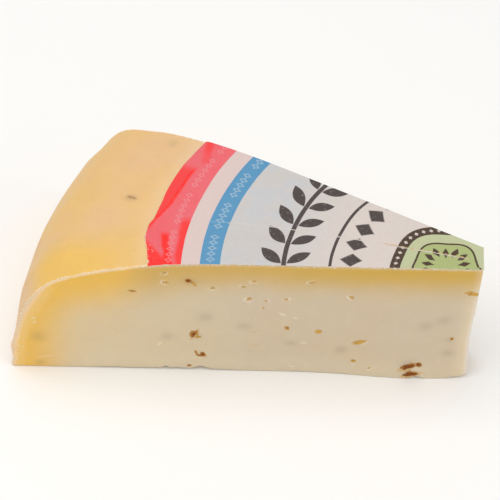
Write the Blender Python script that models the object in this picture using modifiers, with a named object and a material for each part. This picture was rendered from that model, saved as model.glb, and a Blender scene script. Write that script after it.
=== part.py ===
"""A wedge of seeded farmhouse cheese with its film label, in metres, +Z up.

The wedge comes from the upper half of a flat round wheel. The wheel is turned about its own
axis, and a block bounded by the four knife cuts (front, back, tip and base) keeps the wedge.
Caraway seeds and small eyes that the knives have opened are relief in the cheese.
The origin is the middle of the footprint, on the surface that the wedge stands on.
"""

import math
import random

import bmesh
import bpy
from mathutils import Matrix, Vector

# The wheel: half of its height, and the profile of its crown and shoulder
WHEEL_RADIUS = 0.165
HALF_HEIGHT = 0.0609
CROWN_START = 0.0764
CROWN_FALL = 0.0190
CROWN_POWER = 2.5
SHOULDER_START = 0.1371
SHOULDER_TOP_POWER = 3.8
SHOULDER_SIDE_POWER = 2.13

# The four cuts, about the wheel's axis
WEDGE_ANGLE = math.radians(27.2)
FRONT_OFFSET = 0.0010
TIP_OVERRUN = 0.0143
TIP_WIDTH = 0.0114
TIP_LEAN = 0.0035

# Unevenness that the knives leave
FRONT_FLARE = 0.0012
FRONT_FLARE_X = 0.052
FRONT_FLARE_HALF_LENGTH = 0.045
FRONT_FLARE_HEIGHT = 0.030
BACK_WAVE = 0.0006
BACK_WAVE_LENGTH = 0.080
BASE_LIFT = 0.0018
BASE_LIFT_X = -0.030
BASE_LIFT_HALF_LENGTH = 0.040
BASE_LIFT_DEPTH = 0.012
CORNER_LIFT = 0.0014
CORNER_LIFT_LENGTH = 0.012

# The label, a disc of printed film over the crown
LABEL_RADIUS = 0.1124
LABEL_THICKNESS = 0.00035
LABEL_GAP = 0.0003

# Seeds and eyes
SEED_WIDTH = 0.0024
SEED_PROUD = 0.25
EYE_DEPTH = 0.5
SCATTER_SEED = 11
SCATTER_MARGIN = 0.006
SCATTER_SPACING = 0.007

# Fineness of the meshes
TURN_STEPS = 144
CROWN_POINTS = 12
SHOULDER_POINTS = 14
BLOCK_CUTS = 23
CUT_ALLOWANCE = 0.010
MERGE = 0.00001

# Where the wheel's axis lies, seen from the middle of the wedge's footprint
APEX_REACH = TIP_OVERRUN + TIP_WIDTH / math.tan(WEDGE_ANGLE)
RIM_REACH = math.sqrt(WHEEL_RADIUS**2 - FRONT_OFFSET**2)


def back_rim_corner():
    """The point where the back cut meets the rim, from the wheel's axis."""
    along = Vector((-math.cos(WEDGE_ANGLE), math.sin(WEDGE_ANGLE)))
    apex = Vector((APEX_REACH, -FRONT_OFFSET))
    half = along.dot(apex)
    reach = -half + math.sqrt(half**2 - apex.length_squared + WHEEL_RADIUS**2)
    return apex + along * reach


WHEEL_X = (RIM_REACH - TIP_OVERRUN) / 2
WHEEL_Y = (FRONT_OFFSET + FRONT_FLARE - back_rim_corner().y) / 2
APEX = Vector((WHEEL_X + APEX_REACH, WHEEL_Y - FRONT_OFFSET))
TIP_X = WHEEL_X + TIP_OVERRUN

# Seeds that show on the front cut: along X from the footprint's middle, height, length, tilt in degrees
FRONT_SEEDS = (
    (-0.0211, 0.0511, 0.0042, -25),
    (-0.0193, 0.0209, 0.0040, 40),
    (-0.0170, 0.0091, 0.0048, -20),
    (-0.0430, 0.0450, 0.0032, -8),
    (0.0159, 0.0256, 0.0026, -30),
    (0.0280, 0.0240, 0.0030, 10),
    (0.0437, 0.0185, 0.0046, 18),
    (0.0417, 0.0081, 0.0024, 0),
    (0.0798, 0.0216, 0.0024, 60),
    (0.0640, 0.0052, 0.0078, 12),
)
# Eyes that show on the front cut: along X, height, radius
FRONT_EYES = (
    (-0.0302, 0.0501, 0.0010),
    (-0.0123, 0.0475, 0.0011),
    (-0.0009, 0.0486, 0.0010),
    (0.0033, 0.0522, 0.0008),
    (0.0014, 0.0419, 0.0012),
    (0.0079, 0.0408, 0.0008),
    (0.0155, 0.0420, 0.0009),
    (0.0253, 0.0519, 0.0011),
    (0.0403, 0.0438, 0.0011),
    (0.0067, 0.0366, 0.0008),
)
BACK_SEED_COUNT = 9
BACK_EYE_COUNT = 9


def crown_height(radius):
    """Height of the wheel's upper surface above the middle plane, at a distance from its axis."""
    crown = max(0.0, (radius - CROWN_START) / (WHEEL_RADIUS - CROWN_START))
    shoulder = max(0.0, (radius - SHOULDER_START) / (WHEEL_RADIUS - SHOULDER_START))
    side = max(0.0, 1 - min(1.0, shoulder) ** SHOULDER_TOP_POWER)
    return (HALF_HEIGHT - CROWN_FALL * crown**CROWN_POWER) * side ** (1 / SHOULDER_SIDE_POWER)


def crown_radii(outer, points):
    """Radii from the flat middle of the top out to a given one, evenly spaced."""
    return [CROWN_START + (outer - CROWN_START) * i / points for i in range(points + 1)]


def wheel_outline():
    """Points of the turned profile, from the top of the axis out and down to the axis again."""
    points = [(0.0, HALF_HEIGHT)]
    points += [(radius, crown_height(radius)) for radius in crown_radii(SHOULDER_START, CROWN_POINTS)]
    for i in range(1, SHOULDER_POINTS + 1):
        turn = math.pi / 2 * i / SHOULDER_POINTS
        share = math.sin(turn) ** (2 / SHOULDER_TOP_POWER)
        radius = SHOULDER_START + (WHEEL_RADIUS - SHOULDER_START) * share
        points.append((radius, crown_height(radius)))
    return points + [(WHEEL_RADIUS, -CUT_ALLOWANCE), (0.0, -CUT_ALLOWANCE)]


def label_outline():
    """Points of the label's underside, from the axis out to its edge."""
    points = [(0.0, HALF_HEIGHT + LABEL_GAP)]
    for radius in crown_radii(LABEL_RADIUS, CROWN_POINTS):
        points.append((radius, crown_height(radius) + LABEL_GAP))
    return points


def bump(offset, half_length):
    """A smooth rise from 0 to 1 and back, over a distance each way from its middle."""
    share = min(1.0, abs(offset) / half_length)
    return (0.5 + 0.5 * math.cos(math.pi * share)) ** 1.5


def front_flare(x, z):
    """How far the front cut stands forward of its plane, near the base."""
    low = max(0.0, 1 - max(0.0, z) / FRONT_FLARE_HEIGHT) ** 2
    return FRONT_FLARE * bump(x - FRONT_FLARE_X, FRONT_FLARE_HALF_LENGTH) * low


def back_wave(x, z):
    """How far the back cut strays from its plane: most at the base, and not at all at the tip or rim."""
    share = (TIP_X - x) / (TIP_X - WHEEL_X - back_rim_corner().x)
    ends = math.sin(math.pi * min(1.0, max(0.0, share)))
    low = max(0.0, 1 - max(0.0, z) / HALF_HEIGHT)
    return BACK_WAVE * ends * low * math.sin(math.tau * (x + z) / BACK_WAVE_LENGTH)


def base_lift(x, inward):
    """How far the base cut rises off the floor, by the front edge and at the tip."""
    edge = max(0.0, 1 - inward / BASE_LIFT_DEPTH) ** 2
    lift = BASE_LIFT * bump(x - BASE_LIFT_X, BASE_LIFT_HALF_LENGTH) * edge
    corner = max(0.0, 1 - max(0.0, TIP_X - TIP_LEAN - x) / CORNER_LIFT_LENGTH) ** 2
    return lift + CORNER_LIFT * corner


def turned(name, outline, collection):
    """An object whose outline, points of radius and height, a Screw modifier turns about the wheel's axis."""
    mesh = bpy.data.meshes.new(name)
    bm = bmesh.new()
    verts = [bm.verts.new((radius, 0.0, height)) for radius, height in outline]
    for start, end in zip(verts, verts[1:]):
        bm.edges.new((start, end))
    bm.to_mesh(mesh)
    bm.free()
    made = bpy.data.objects.new(name, mesh)
    made.location = (WHEEL_X, WHEEL_Y, 0.0)
    collection.objects.link(made)
    screw = made.modifiers.new("Turn", "SCREW")
    screw.axis = "Z"
    screw.angle = math.tau
    screw.steps = TURN_STEPS
    screw.render_steps = TURN_STEPS
    screw.use_merge_vertices = True
    screw.merge_threshold = MERGE
    screw.use_smooth_shade = True
    return made


def cut_point(along, across, up):
    """A corner of the knives' block, from shares of its length, angle and height."""
    angle = WEDGE_ANGLE * across
    z = (HALF_HEIGHT + CUT_ALLOWANCE) * up
    lean = TIP_LEAN * max(0.0, 1 - z / HALF_HEIGHT)
    near = (APEX.x - TIP_X + lean) / math.cos(angle)
    far = APEX_REACH + WHEEL_RADIUS + CUT_ALLOWANCE
    reach = near + (far - near) * along
    x = APEX.x - reach * math.cos(angle)
    y = APEX.y + reach * math.sin(angle)
    inward = y - APEX.y
    y -= front_flare(x, z) * (1 - across) ** 4
    y += back_wave(x, z) * across**4
    if up == 0:
        z = base_lift(x, inward)
    return Vector((x, y, z))


def knife_block(collection):
    """The space between the four cuts: a finely divided cube, bent so that its sides follow them."""
    mesh = bpy.data.meshes.new("knife_block")
    bm = bmesh.new()
    bmesh.ops.create_cube(bm, size=1.0, matrix=Matrix.Translation((0.5, 0.5, 0.5)))
    bmesh.ops.subdivide_edges(bm, edges=bm.edges[:], cuts=BLOCK_CUTS, use_grid_fill=True)
    for vert in bm.verts:
        along, across, up = (round(share, 6) for share in vert.co)
        vert.co = cut_point(along, across, up)
    bmesh.ops.recalc_face_normals(bm, faces=bm.faces[:])
    bm.to_mesh(mesh)
    bm.free()
    made = bpy.data.objects.new("knife_block", mesh)
    collection.objects.link(made)
    hide(made)
    return made


def hide(cutter):
    """Marks a cutter as a guide that isn't part of the object."""
    cutter.hide_render = True
    cutter.display_type = "WIRE"


def front_place(x, z):
    """A point on the front cut, with the directions along it and out of it."""
    y = APEX.y - front_flare(x, z)
    return Vector((x, y, z)), Vector((1, 0, 0)), Vector((0, -1, 0))


def back_place(reach, z):
    """A point on the back cut at a distance from the apex, with the directions along it and out of it."""
    along = Vector((-math.cos(WEDGE_ANGLE), math.sin(WEDGE_ANGLE), 0))
    out = Vector((math.sin(WEDGE_ANGLE), math.cos(WEDGE_ANGLE), 0))
    flat = Vector((APEX.x, APEX.y, z)) + along * reach
    return flat + Vector((0, back_wave(flat.x, z), 0)), along, out


def ball(name, place, size, tilt, collection):
    """A small rounded solid on a cut face, such as a seed or the hollow of an eye."""
    point, along, out = place
    up = Vector((0, 0, 1))
    turn = math.radians(tilt)
    axis = along * math.cos(turn) + up * math.sin(turn)
    side = out.cross(axis)
    frame = Matrix((axis, side, out)).transposed().to_4x4()
    mesh = bpy.data.meshes.new(name)
    bm = bmesh.new()
    bmesh.ops.create_uvsphere(bm, u_segments=7, v_segments=5, radius=0.5)
    bmesh.ops.scale(bm, vec=size, verts=bm.verts[:])
    bm.to_mesh(mesh)
    bm.free()
    made = bpy.data.objects.new(name, mesh)
    made.matrix_world = Matrix.Translation(point) @ frame
    collection.objects.link(made)
    return made


def seed(name, place, length, tilt, collection):
    """A caraway seed that lies along a cut face, nearly all of it sunk in."""
    width = min(SEED_WIDTH, length * 0.6)
    point, along, out = place
    sunk = (point - out * width * (0.5 - SEED_PROUD), along, out)
    return ball(name, sunk, (length, width, width), tilt, collection)


def eye(name, place, radius, collection):
    """The round cutter of a small eye."""
    point, along, out = place
    shallow = (point + out * radius * (1 - EYE_DEPTH), along, out)
    made = ball(name, shallow, (radius * 2,) * 3, 0, collection)
    hide(made)
    return made


def scattered(count, rng):
    """Places for seeds or eyes spread over the back cut, as distance from the apex and height."""
    start = APEX.x - TIP_X + SCATTER_MARGIN
    end = APEX_REACH + SHOULDER_START
    top = crown_height(SHOULDER_START) - SCATTER_MARGIN
    places = []
    while len(places) < count:
        place = Vector((rng.uniform(start, end), rng.uniform(SCATTER_MARGIN, top)))
        if all((place - other).length > SCATTER_SPACING for other in places):
            places.append(place)
    return places


def add_seeds(collection):
    """The seeds that the front and back cuts have opened."""
    for i, (x, z, length, tilt) in enumerate(FRONT_SEEDS):
        seed(f"front_seed_{i}", front_place(x, z), length, tilt, collection)
    rng = random.Random(SCATTER_SEED)
    for i, (reach, z) in enumerate(scattered(BACK_SEED_COUNT + BACK_EYE_COUNT, rng)[:BACK_SEED_COUNT]):
        place = back_place(reach, z)
        seed(f"back_seed_{i}", place, rng.uniform(0.003, 0.006), rng.uniform(-60, 60), collection)


def add_eyes(collection):
    """The eyes that the front and back cuts have opened."""
    for i, (x, z, radius) in enumerate(FRONT_EYES):
        eye(f"front_eye_{i}", front_place(x, z), radius, collection)
    rng = random.Random(SCATTER_SEED)
    places = scattered(BACK_SEED_COUNT + BACK_EYE_COUNT, rng)[BACK_SEED_COUNT:]
    for i, (reach, z) in enumerate(places):
        eye(f"back_eye_{i}", back_place(reach, z), rng.uniform(0.0008, 0.0014), collection)


def boolean(made, name, operation, cutter):
    """Adds a Boolean modifier that takes an object or a collection."""
    cut = made.modifiers.new(name, "BOOLEAN")
    cut.operation = operation
    cut.solver = "EXACT"
    if isinstance(cutter, bpy.types.Collection):
        cut.operand_type = "COLLECTION"
        cut.collection = cutter
    else:
        cut.object = cutter
    return cut


def dressed(made, colour, roughness):
    """Gives an object its own plain material."""
    material = bpy.data.materials.new(made.name)
    material.use_nodes = True
    shader = material.node_tree.nodes["Principled BSDF"]
    shader.inputs["Base Color"].default_value = (*colour, 1.0)
    shader.inputs["Roughness"].default_value = roughness
    shader.inputs["Metallic"].default_value = 0.0
    made.data.materials.append(material)
    return made


def new_collection(name):
    """A collection linked to the scene."""
    made = bpy.data.collections.new(name)
    bpy.context.scene.collection.children.link(made)
    return made


def apply_modifiers(made):
    """Replaces an object's mesh with the one that its modifiers give."""
    graph = bpy.context.evaluated_depsgraph_get()
    mesh = bpy.data.meshes.new_from_object(made.evaluated_get(graph))
    made.modifiers.clear()
    made.data = mesh


def build_cheese(collection, block, seeds, eyes):
    """The wedge itself, with its seeds and eyes."""
    cheese = turned("cheese", wheel_outline(), collection)
    boolean(cheese, "Wedge", "INTERSECT", block)
    boolean(cheese, "Eyes", "DIFFERENCE", eyes)
    boolean(cheese, "Seeds", "UNION", seeds)
    dressed(cheese, (0.80, 0.60, 0.30), 0.5)
    apply_modifiers(cheese)
    return cheese


def build_label(collection, block):
    """The film label, flush with the cuts on three sides."""
    label = turned("label", label_outline(), collection)
    film = label.modifiers.new("Film", "SOLIDIFY")
    film.thickness = LABEL_THICKNESS
    film.offset = 1.0
    boolean(label, "Wedge", "INTERSECT", block)
    dressed(label, (0.62, 0.57, 0.52), 0.35)
    return label


def main():
    """Builds the wedge in an empty scene."""
    for old in list(bpy.data.objects):
        bpy.data.objects.remove(old)
    wedge = new_collection("cheese_wedge")
    cutters = new_collection("cutters")
    seeds = new_collection("seeds")
    eyes = new_collection("eyes")
    block = knife_block(cutters)
    add_seeds(seeds)
    add_eyes(eyes)
    build_cheese(wedge, block, seeds, eyes)
    build_label(wedge, block)
    for collection in (seeds, eyes):
        for used in list(collection.objects):
            bpy.data.objects.remove(used)
        bpy.data.collections.remove(collection)


if __name__ == "__main__":
    main()
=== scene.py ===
"""Looks for a wedge of caraway cheese with a printed film label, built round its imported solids.

The cheese is one closed skin of quads that follows the knife cuts, the crown and the rim. The
caraway seeds, the crumbs, the film and the line scored in it are pieces of their own. Sizes are in
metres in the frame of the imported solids, and MM turns a value in millimetres into metres.
"""

from __future__ import annotations

import logging
import math
import random
from collections.abc import Sequence
from dataclasses import dataclass, field
from enum import Enum
from functools import cached_property, partialmethod

import bmesh
import bpy
import numpy as np
from bmesh.types import BMesh
from bpy.types import Material, Node, NodeSocket, NodeTree, Object
from mathutils import Matrix, Vector, noise

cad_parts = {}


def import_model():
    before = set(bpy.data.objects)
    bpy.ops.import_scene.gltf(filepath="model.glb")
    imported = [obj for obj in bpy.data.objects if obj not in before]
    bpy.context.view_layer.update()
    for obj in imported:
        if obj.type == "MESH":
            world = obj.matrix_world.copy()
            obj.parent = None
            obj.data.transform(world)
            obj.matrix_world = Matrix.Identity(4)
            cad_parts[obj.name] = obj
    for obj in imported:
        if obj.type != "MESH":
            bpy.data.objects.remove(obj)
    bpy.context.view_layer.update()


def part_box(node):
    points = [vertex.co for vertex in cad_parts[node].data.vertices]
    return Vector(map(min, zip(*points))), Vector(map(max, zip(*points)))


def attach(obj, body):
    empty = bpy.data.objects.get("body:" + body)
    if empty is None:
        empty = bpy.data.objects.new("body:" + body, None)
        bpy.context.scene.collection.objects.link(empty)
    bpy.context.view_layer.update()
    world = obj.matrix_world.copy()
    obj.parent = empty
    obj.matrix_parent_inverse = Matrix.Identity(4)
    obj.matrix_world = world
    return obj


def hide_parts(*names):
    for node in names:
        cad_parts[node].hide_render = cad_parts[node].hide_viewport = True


LOG = logging.getLogger("cheese_wedge")
MM = 0.001
Array = np.ndarray
Colour = tuple[int, int, int]
Span = tuple[float, float]
Triple = tuple[float, float, float]
Table = tuple[Span, ...]


# Small numeric helpers


def linear(colour: Colour) -> tuple[float, float, float, float]:
    """Turns a display colour, 0 to 255, into a shader colour with an alpha of 1."""
    shares = [value / 255 for value in colour]
    return (*(s / 12.92 if s <= 0.04045 else ((s + 0.055) / 1.055) ** 2.4 for s in shares), 1.0)


def ease(value: Array, low: float, high: float) -> Array:
    """Rises smoothly from 0 at low to 1 at high, or falls where low is the larger."""
    share = np.clip((value - low) / (high - low), 0, 1)
    return share * share * (3 - 2 * share)


def bump(offset: Array, half_length: float) -> Array:
    """A smooth rise to 1 at no offset, which ends at half_length each way."""
    share = np.clip(np.abs(offset) / half_length, 0, 1)
    return (0.5 + 0.5 * np.cos(np.pi * share)) ** 1.5


def rough(points: Array, wavelength: float, seed: float) -> Array:
    """Smooth noise from about -1 to 1 at points, with lumps a wavelength apart. The seed picks which."""
    shift = Vector((seed * 7.31, seed * 3.17, seed * 5.73))
    return np.array([noise.noise(Vector(point) + shift) for point in (points / wavelength).tolist()])


def graded(cells: int, ends: float) -> Array:
    """Shares from 0 to 1, one more than the cells, that crowd together at both ends as ends nears 1."""
    even = np.linspace(0, 1, cells + 1)
    return (1 - ends) * even + ends * (1 - np.cos(np.pi * even)) / 2


def looked_up(table: Table, value: Array) -> Array:
    """Reads a table of pairs at given values, with straight lines between its rows."""
    return np.interp(value, *np.array(table).T)


def resample(curve: Array, shares: Array) -> Array:
    """Places points along a dense curve.

    Args:
        curve: The dense curve, one row for each point.
        shares: Where the new points go, as shares of the curve's length.

    Returns:
        The new points.
    """
    steps = np.linalg.norm(np.diff(curve, axis=0), axis=1)
    length = np.concatenate([[0], np.cumsum(steps)])
    wanted = shares * length[-1]
    return np.column_stack([np.interp(wanted, length, column) for column in curve.T])


# Mesh helpers


def grid_quads(grid: Array) -> Array:
    """Joins a grid of vertex numbers into quads, with a row of four numbers for each."""
    return np.stack([grid[:-1, :-1], grid[1:, :-1], grid[1:, 1:], grid[:-1, 1:]], axis=-1).reshape(-1, 4)


def grid_rim(grid: Array) -> Array:
    """The vertex numbers once round the outside of a grid."""
    return np.concatenate([grid[:-1, 0], grid[-1, :-1], grid[:0:-1, -1], grid[0, :0:-1]])


def relaxed(points: Array, quads: Array, share: Array, rounds: int) -> Array:
    """Moves vertices towards the mean of their neighbours, which rounds off edges.

    Args:
        points: The vertices.
        quads: Four vertex numbers for each face.
        share: How far each vertex moves in a round, from 0 to 1.
        rounds: How many rounds there are.

    Returns:
        The moved vertices.
    """
    sides = np.concatenate([quads[:, [0, 1]], quads[:, [1, 2]], quads[:, [2, 3]], quads[:, [3, 0]]])
    sides = np.unique(np.sort(sides, axis=1), axis=0)
    count = np.bincount(sides.ravel(), minlength=len(points))[:, None]
    moved = points.copy()
    for _ in range(rounds):
        total = np.zeros_like(moved)
        np.add.at(total, sides[:, 0], moved[sides[:, 1]])
        np.add.at(total, sides[:, 1], moved[sides[:, 0]])
        moved += (total / count - moved) * share[:, None]
    return moved


def shown(mesh: bpy.types.Mesh, materials: Sequence[Material]) -> Object:
    """Makes a smooth-shaded object of a mesh.

    Args:
        mesh: The mesh, under the piece's name.
        materials: The piece's materials.

    Returns:
        The object, linked to the scene.
    """
    for material in materials:
        mesh.materials.append(material)
    mesh.shade_smooth()
    piece = bpy.data.objects.new(mesh.name, mesh)
    bpy.context.scene.collection.objects.link(piece)
    return piece


def mesh_piece(name: str, points: Array, faces: list[list[int]], *materials: Material) -> Object:
    """Makes a piece from vertices and faces.

    Args:
        name: The piece's name.
        points: The vertices.
        faces: The vertex numbers of each face.
        materials: The piece's materials.

    Returns:
        The object.
    """
    mesh = bpy.data.meshes.new(name)
    mesh.from_pydata(points.tolist(), [], faces)
    return shown(mesh, materials)


def bmesh_piece(name: str, bm: BMesh, *materials: Material) -> Object:
    """Makes a piece from a bmesh, and frees that.

    Args:
        name: The piece's name.
        bm: The bmesh.
        materials: The piece's materials.

    Returns:
        The object.
    """
    mesh = bpy.data.meshes.new(name)
    bm.to_mesh(mesh)
    bm.free()
    return shown(mesh, materials)


def paint(piece: Object, values: dict[str, Array]) -> None:
    """Stores one number per vertex under each name, for the materials to read.

    Args:
        piece: The object.
        values: The numbers, by attribute name.
    """
    for name, numbers in values.items():
        layer = piece.data.attributes.new(name, "FLOAT", "POINT")
        layer.data.foreach_set("value", np.asarray(numbers, np.float32))


# The wedge's form


class Face(Enum):
    """The faces of the wedge that carry seeds and eyes."""

    FRONT = "front"
    BACK = "back"
    TIP = "tip"
    BASE = "base"
    CROWN = "crown"
    RIM = "rim"


@dataclass(frozen=True)
class WedgeForm:
    """Driving sizes of the wedge, as in its solids, and what follows from them."""

    front_y: float
    tip_x: float
    wheel_radius: float = 0.165
    half_height: float = 0.0609
    crown_start: float = 0.0764
    crown_fall: float = 0.0190
    crown_power: float = 2.5
    shoulder_start: float = 0.1371
    shoulder_top_power: float = 3.8
    shoulder_side_power: float = 2.13
    angle: float = math.radians(27.2)
    front_offset: float = 0.0010
    tip_overrun: float = 0.0143
    tip_width: float = 0.0114
    tip_lean: float = 0.0035

    @classmethod
    def from_frame(cls) -> WedgeForm:
        """Reads where the front cut and the tip are from the label's solid, which both cuts trim."""
        low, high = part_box("label")
        return cls(front_y=low.y, tip_x=high.x)

    @property
    def wheel(self) -> Array:
        """The wheel's axis, seen from above."""
        return np.array([self.tip_x - self.tip_overrun, self.front_y + self.front_offset])

    @property
    def apex_reach(self) -> float:
        """How far past the wheel's axis the front and back cuts would meet."""
        return self.tip_overrun + self.tip_width / math.tan(self.angle)

    @property
    def apex(self) -> Array:
        """Where the front and back cuts would meet, seen from above."""
        return np.array([self.wheel[0] + self.apex_reach, self.front_y])

    @property
    def back_out(self) -> Array:
        """The direction out of the back cut, seen from above."""
        return np.array([math.sin(self.angle), math.cos(self.angle)])

    def crown(self, radius: Array) -> Array:
        """Works out the height of the wheel's surface.

        Args:
            radius: Distances from the wheel's axis.

        Returns:
            The heights above the base.
        """
        fall = np.clip((radius - self.crown_start) / (self.wheel_radius - self.crown_start), 0, 1)
        side = np.clip((radius - self.shoulder_start) / (self.wheel_radius - self.shoulder_start), 0, 1)
        height = self.half_height - self.crown_fall * fall**self.crown_power
        return height * (1 - side**self.shoulder_top_power) ** (1 / self.shoulder_side_power)

    def shoulder(self, points: int) -> Array:
        """Spaces points along the shoulder and rim.

        Args:
            points: How many there are.

        Returns:
            Radius and height, from the top to the base.
        """
        share = np.sin(np.linspace(0, np.pi / 2, points)) ** (2 / self.shoulder_top_power)
        radius = self.shoulder_start + (self.wheel_radius - self.shoulder_start) * share
        return np.column_stack([radius, self.crown(radius)])

    def profile(self) -> Array:
        """Radius and height along the wheel's whole outer surface, from the axis to the base."""
        flat = np.linspace(0, self.shoulder_start, 160, endpoint=False)
        return np.vstack([np.column_stack([flat, self.crown(flat)]), self.shoulder(160)])

    def corner_radius(self) -> float:
        """The radius where the shoulder slopes at 45 degrees."""
        curve = self.shoulder(600)
        return float(curve[np.argmax(-np.diff(curve[:, 1]) > np.diff(curve[:, 0])), 0])

    def tip_reach(self, angle: float, height: Array) -> Array:
        """Distance from the apex to the tip's cut, which leans in towards the base."""
        lean = self.tip_lean * (1 - np.asarray(height) / self.half_height)
        return (self.apex_reach - self.tip_overrun + lean) / math.cos(angle)

    def reach_to(self, angle: float, radius: Array) -> Array:
        """Distance from the apex to a ring about the wheel's axis, at an angle from the front cut."""
        dot = -self.apex_reach * math.cos(angle) - self.front_offset * math.sin(angle)
        return -dot + np.sqrt(dot**2 - (self.apex_reach**2 + self.front_offset**2) + np.asarray(radius) ** 2)

    def place(self, angle: float, reach: Array, height: Array) -> Array:
        """Points in one direction from the apex, at distances from it and at one height or at many."""
        x, y = self.apex[0] - reach * math.cos(angle), self.apex[1] + reach * math.sin(angle)
        return np.stack([x, y, np.broadcast_to(height, x.shape)], axis=-1)

    def radius_of(self, points: Array) -> Array:
        """Distance of points from the wheel's axis."""
        return np.linalg.norm(points[:, :2] - self.wheel, axis=1)

    def turn_of(self, points: Array) -> Array:
        """Angle of points about the wheel's axis in degrees, from 0 at the front cut."""
        across = points[:, :2] - self.wheel
        return np.degrees(np.arctan2(across[:, 1], -across[:, 0]))


@dataclass
class Gaps:
    """How far points lie inside each of the wedge's surfaces."""

    front: Array
    back: Array
    tip: Array
    base: Array
    outer: Array

    @classmethod
    def measure(cls, form: WedgeForm, points: Array) -> Gaps:
        """Measures points against the surfaces of the form.

        Args:
            form: The wedge's form.
            points: The points, inside the wedge or on its skin.

        Returns:
            The distances.
        """
        lean = form.tip_lean * (1 - points[:, 2] / form.half_height)
        section = np.column_stack([form.radius_of(points), points[:, 2]])
        profile = form.profile()
        starts, steps = profile[:-1], np.diff(profile, axis=0)
        lengths = (steps**2).sum(axis=1)
        outer = []
        for part in np.array_split(section, max(1, len(section) // 8000)):
            offset = part[:, None] - starts
            share = np.clip((offset * steps).sum(axis=2) / lengths, 0, 1)
            outer.append(np.linalg.norm(offset - share[..., None] * steps, axis=2).min(axis=1))
        return cls(
            front=points[:, 1] - form.front_y,
            back=-(points[:, :2] - form.apex) @ form.back_out,
            tip=form.tip_x - lean - points[:, 0],
            base=points[:, 2].copy(),
            outer=np.concatenate(outer),
        )

    def cuts(self) -> Array:
        """Distance to the nearest knife cut."""
        return np.minimum.reduce([self.front, self.back, self.tip, self.base])

    def edge(self) -> Array:
        """Distance to the nearest edge: the second smallest of the distances to the surfaces."""
        stacked = np.stack([self.front, self.back, self.tip, self.base, self.outer])
        return np.sort(stacked, axis=0)[1]

    def of(self, face: Face) -> Array:
        """Distance to the surface that carries a face."""
        flat = {Face.FRONT: self.front, Face.BACK: self.back, Face.TIP: self.tip, Face.BASE: self.base}
        return flat.get(face, self.outer)

    def inner_margin(self, face: Face) -> Array:
        """Distance to the nearest surface other than a face's own, negative outside the wedge."""
        gaps = (self.front, self.back, self.tip, self.base, self.outer)
        return np.minimum.reduce([gap for gap in gaps if gap is not self.of(face)])


# Marks in the cheese: seeds, eyes and what shows dimly under the surface


@dataclass(frozen=True)
class Chart:
    """A flat map of one face, in metres: its two directions and the way out make a right-handed set."""

    form: WedgeForm
    face: Face

    def local(self, points: Array) -> tuple[Array, Array]:
        """Reads points off the map.

        Args:
            points: Points on the face.

        Returns:
            Their two coordinates.
        """
        form = self.form
        if self.face is Face.FRONT:
            return points[:, 0], points[:, 2]
        if self.face is Face.BACK:
            side = np.array([-form.back_out[1], form.back_out[0]])
            return (points[:, :2] - form.apex) @ side, points[:, 2]
        if self.face is Face.TIP:
            return points[:, 1] - form.front_y, points[:, 2]
        if self.face is Face.RIM:
            return -np.radians(form.turn_of(points)) * form.wheel_radius, points[:, 2]
        if self.face is Face.BASE:
            return -points[:, 0], points[:, 1]
        return points[:, 0], points[:, 1]

    def spot(self, along: float, up: float) -> Matrix:
        """Finds a place on the face.

        Args:
            along: The map's first coordinate.
            up: The map's second coordinate.

        Returns:
            The place, as a matrix whose Z points out of the face.
        """
        form, sides = self.form, self.directions(along, up)
        centre = {
            Face.FRONT: (along, form.front_y, up),
            Face.TIP: (form.tip_x - form.tip_lean * (1 - up / form.half_height), form.front_y + along, up),
            Face.BASE: (-along, up, 0.0),
        }.get(self.face)
        if self.face is Face.BACK:
            centre = (*(form.apex + np.array(sides[0][:2]) * along), up)
        if self.face is Face.RIM:
            out = Vector((-math.cos(-along / form.wheel_radius), math.sin(-along / form.wheel_radius)))
            centre = (*(Vector(form.wheel) + out * self.rim_radius(up)), up)
        if self.face is Face.CROWN:
            radius = form.radius_of(np.array([[along, up, 0.0]]))
            centre = (along, up, float(form.crown(radius)[0]))
        return Matrix.Translation(centre) @ Matrix(sides).transposed().to_4x4()

    def rim_radius(self, height: float) -> float:
        """The wheel's radius at a height on its rim."""
        curve = self.form.shoulder(300)[::-1]
        return float(np.interp(height, curve[:, 1], curve[:, 0]))

    def directions(self, along: float, up: float) -> tuple[Vector, Vector, Vector]:
        """Works out how the face lies at a place on it.

        Args:
            along: The map's first coordinate.
            up: The map's second coordinate.

        Returns:
            The map's two directions and the way out.
        """
        form, upright = self.form, Vector((0, 0, 1))
        if self.face is Face.FRONT:
            return Vector((1, 0, 0)), upright, Vector((0, -1, 0))
        if self.face is Face.BASE:
            return Vector((-1, 0, 0)), Vector((0, 1, 0)), Vector((0, 0, -1))
        if self.face is Face.BACK:
            out = Vector((*form.back_out, 0))
            return Vector((-out.y, out.x, 0)), upright, out
        if self.face is Face.TIP:
            out = Vector((1, 0, -form.tip_lean / form.half_height)).normalized()
            side = Vector((0, 1, 0))
            return side, out.cross(side), out
        if self.face is Face.RIM:
            low, high = max(up - 0.5 * MM, 0), up + 0.5 * MM
            slope = (self.rim_radius(high) - self.rim_radius(low)) / (high - low)
            turn = -along / form.wheel_radius
            out = Vector((-math.cos(turn), math.sin(turn), -slope)).normalized()
            side = Vector((-math.sin(turn), -math.cos(turn), 0))
            return side, out.cross(side), out
        away = Vector((along, up)) - Vector(form.wheel)
        near, far = form.crown(np.array([away.length - MM, away.length + MM]))
        away = away.normalized() * float(near - far) / (2 * MM)
        out = Vector((away.x, away.y, 1)).normalized()
        side = Vector((0, 1, 0)).cross(out).normalized()
        return side, out.cross(side), out


class MarkKind(Enum):
    """What a mark in the cheese is."""

    SEED = "seed"
    EYE = "eye"
    GHOST = "ghost"
    STREAK = "streak"


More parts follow.
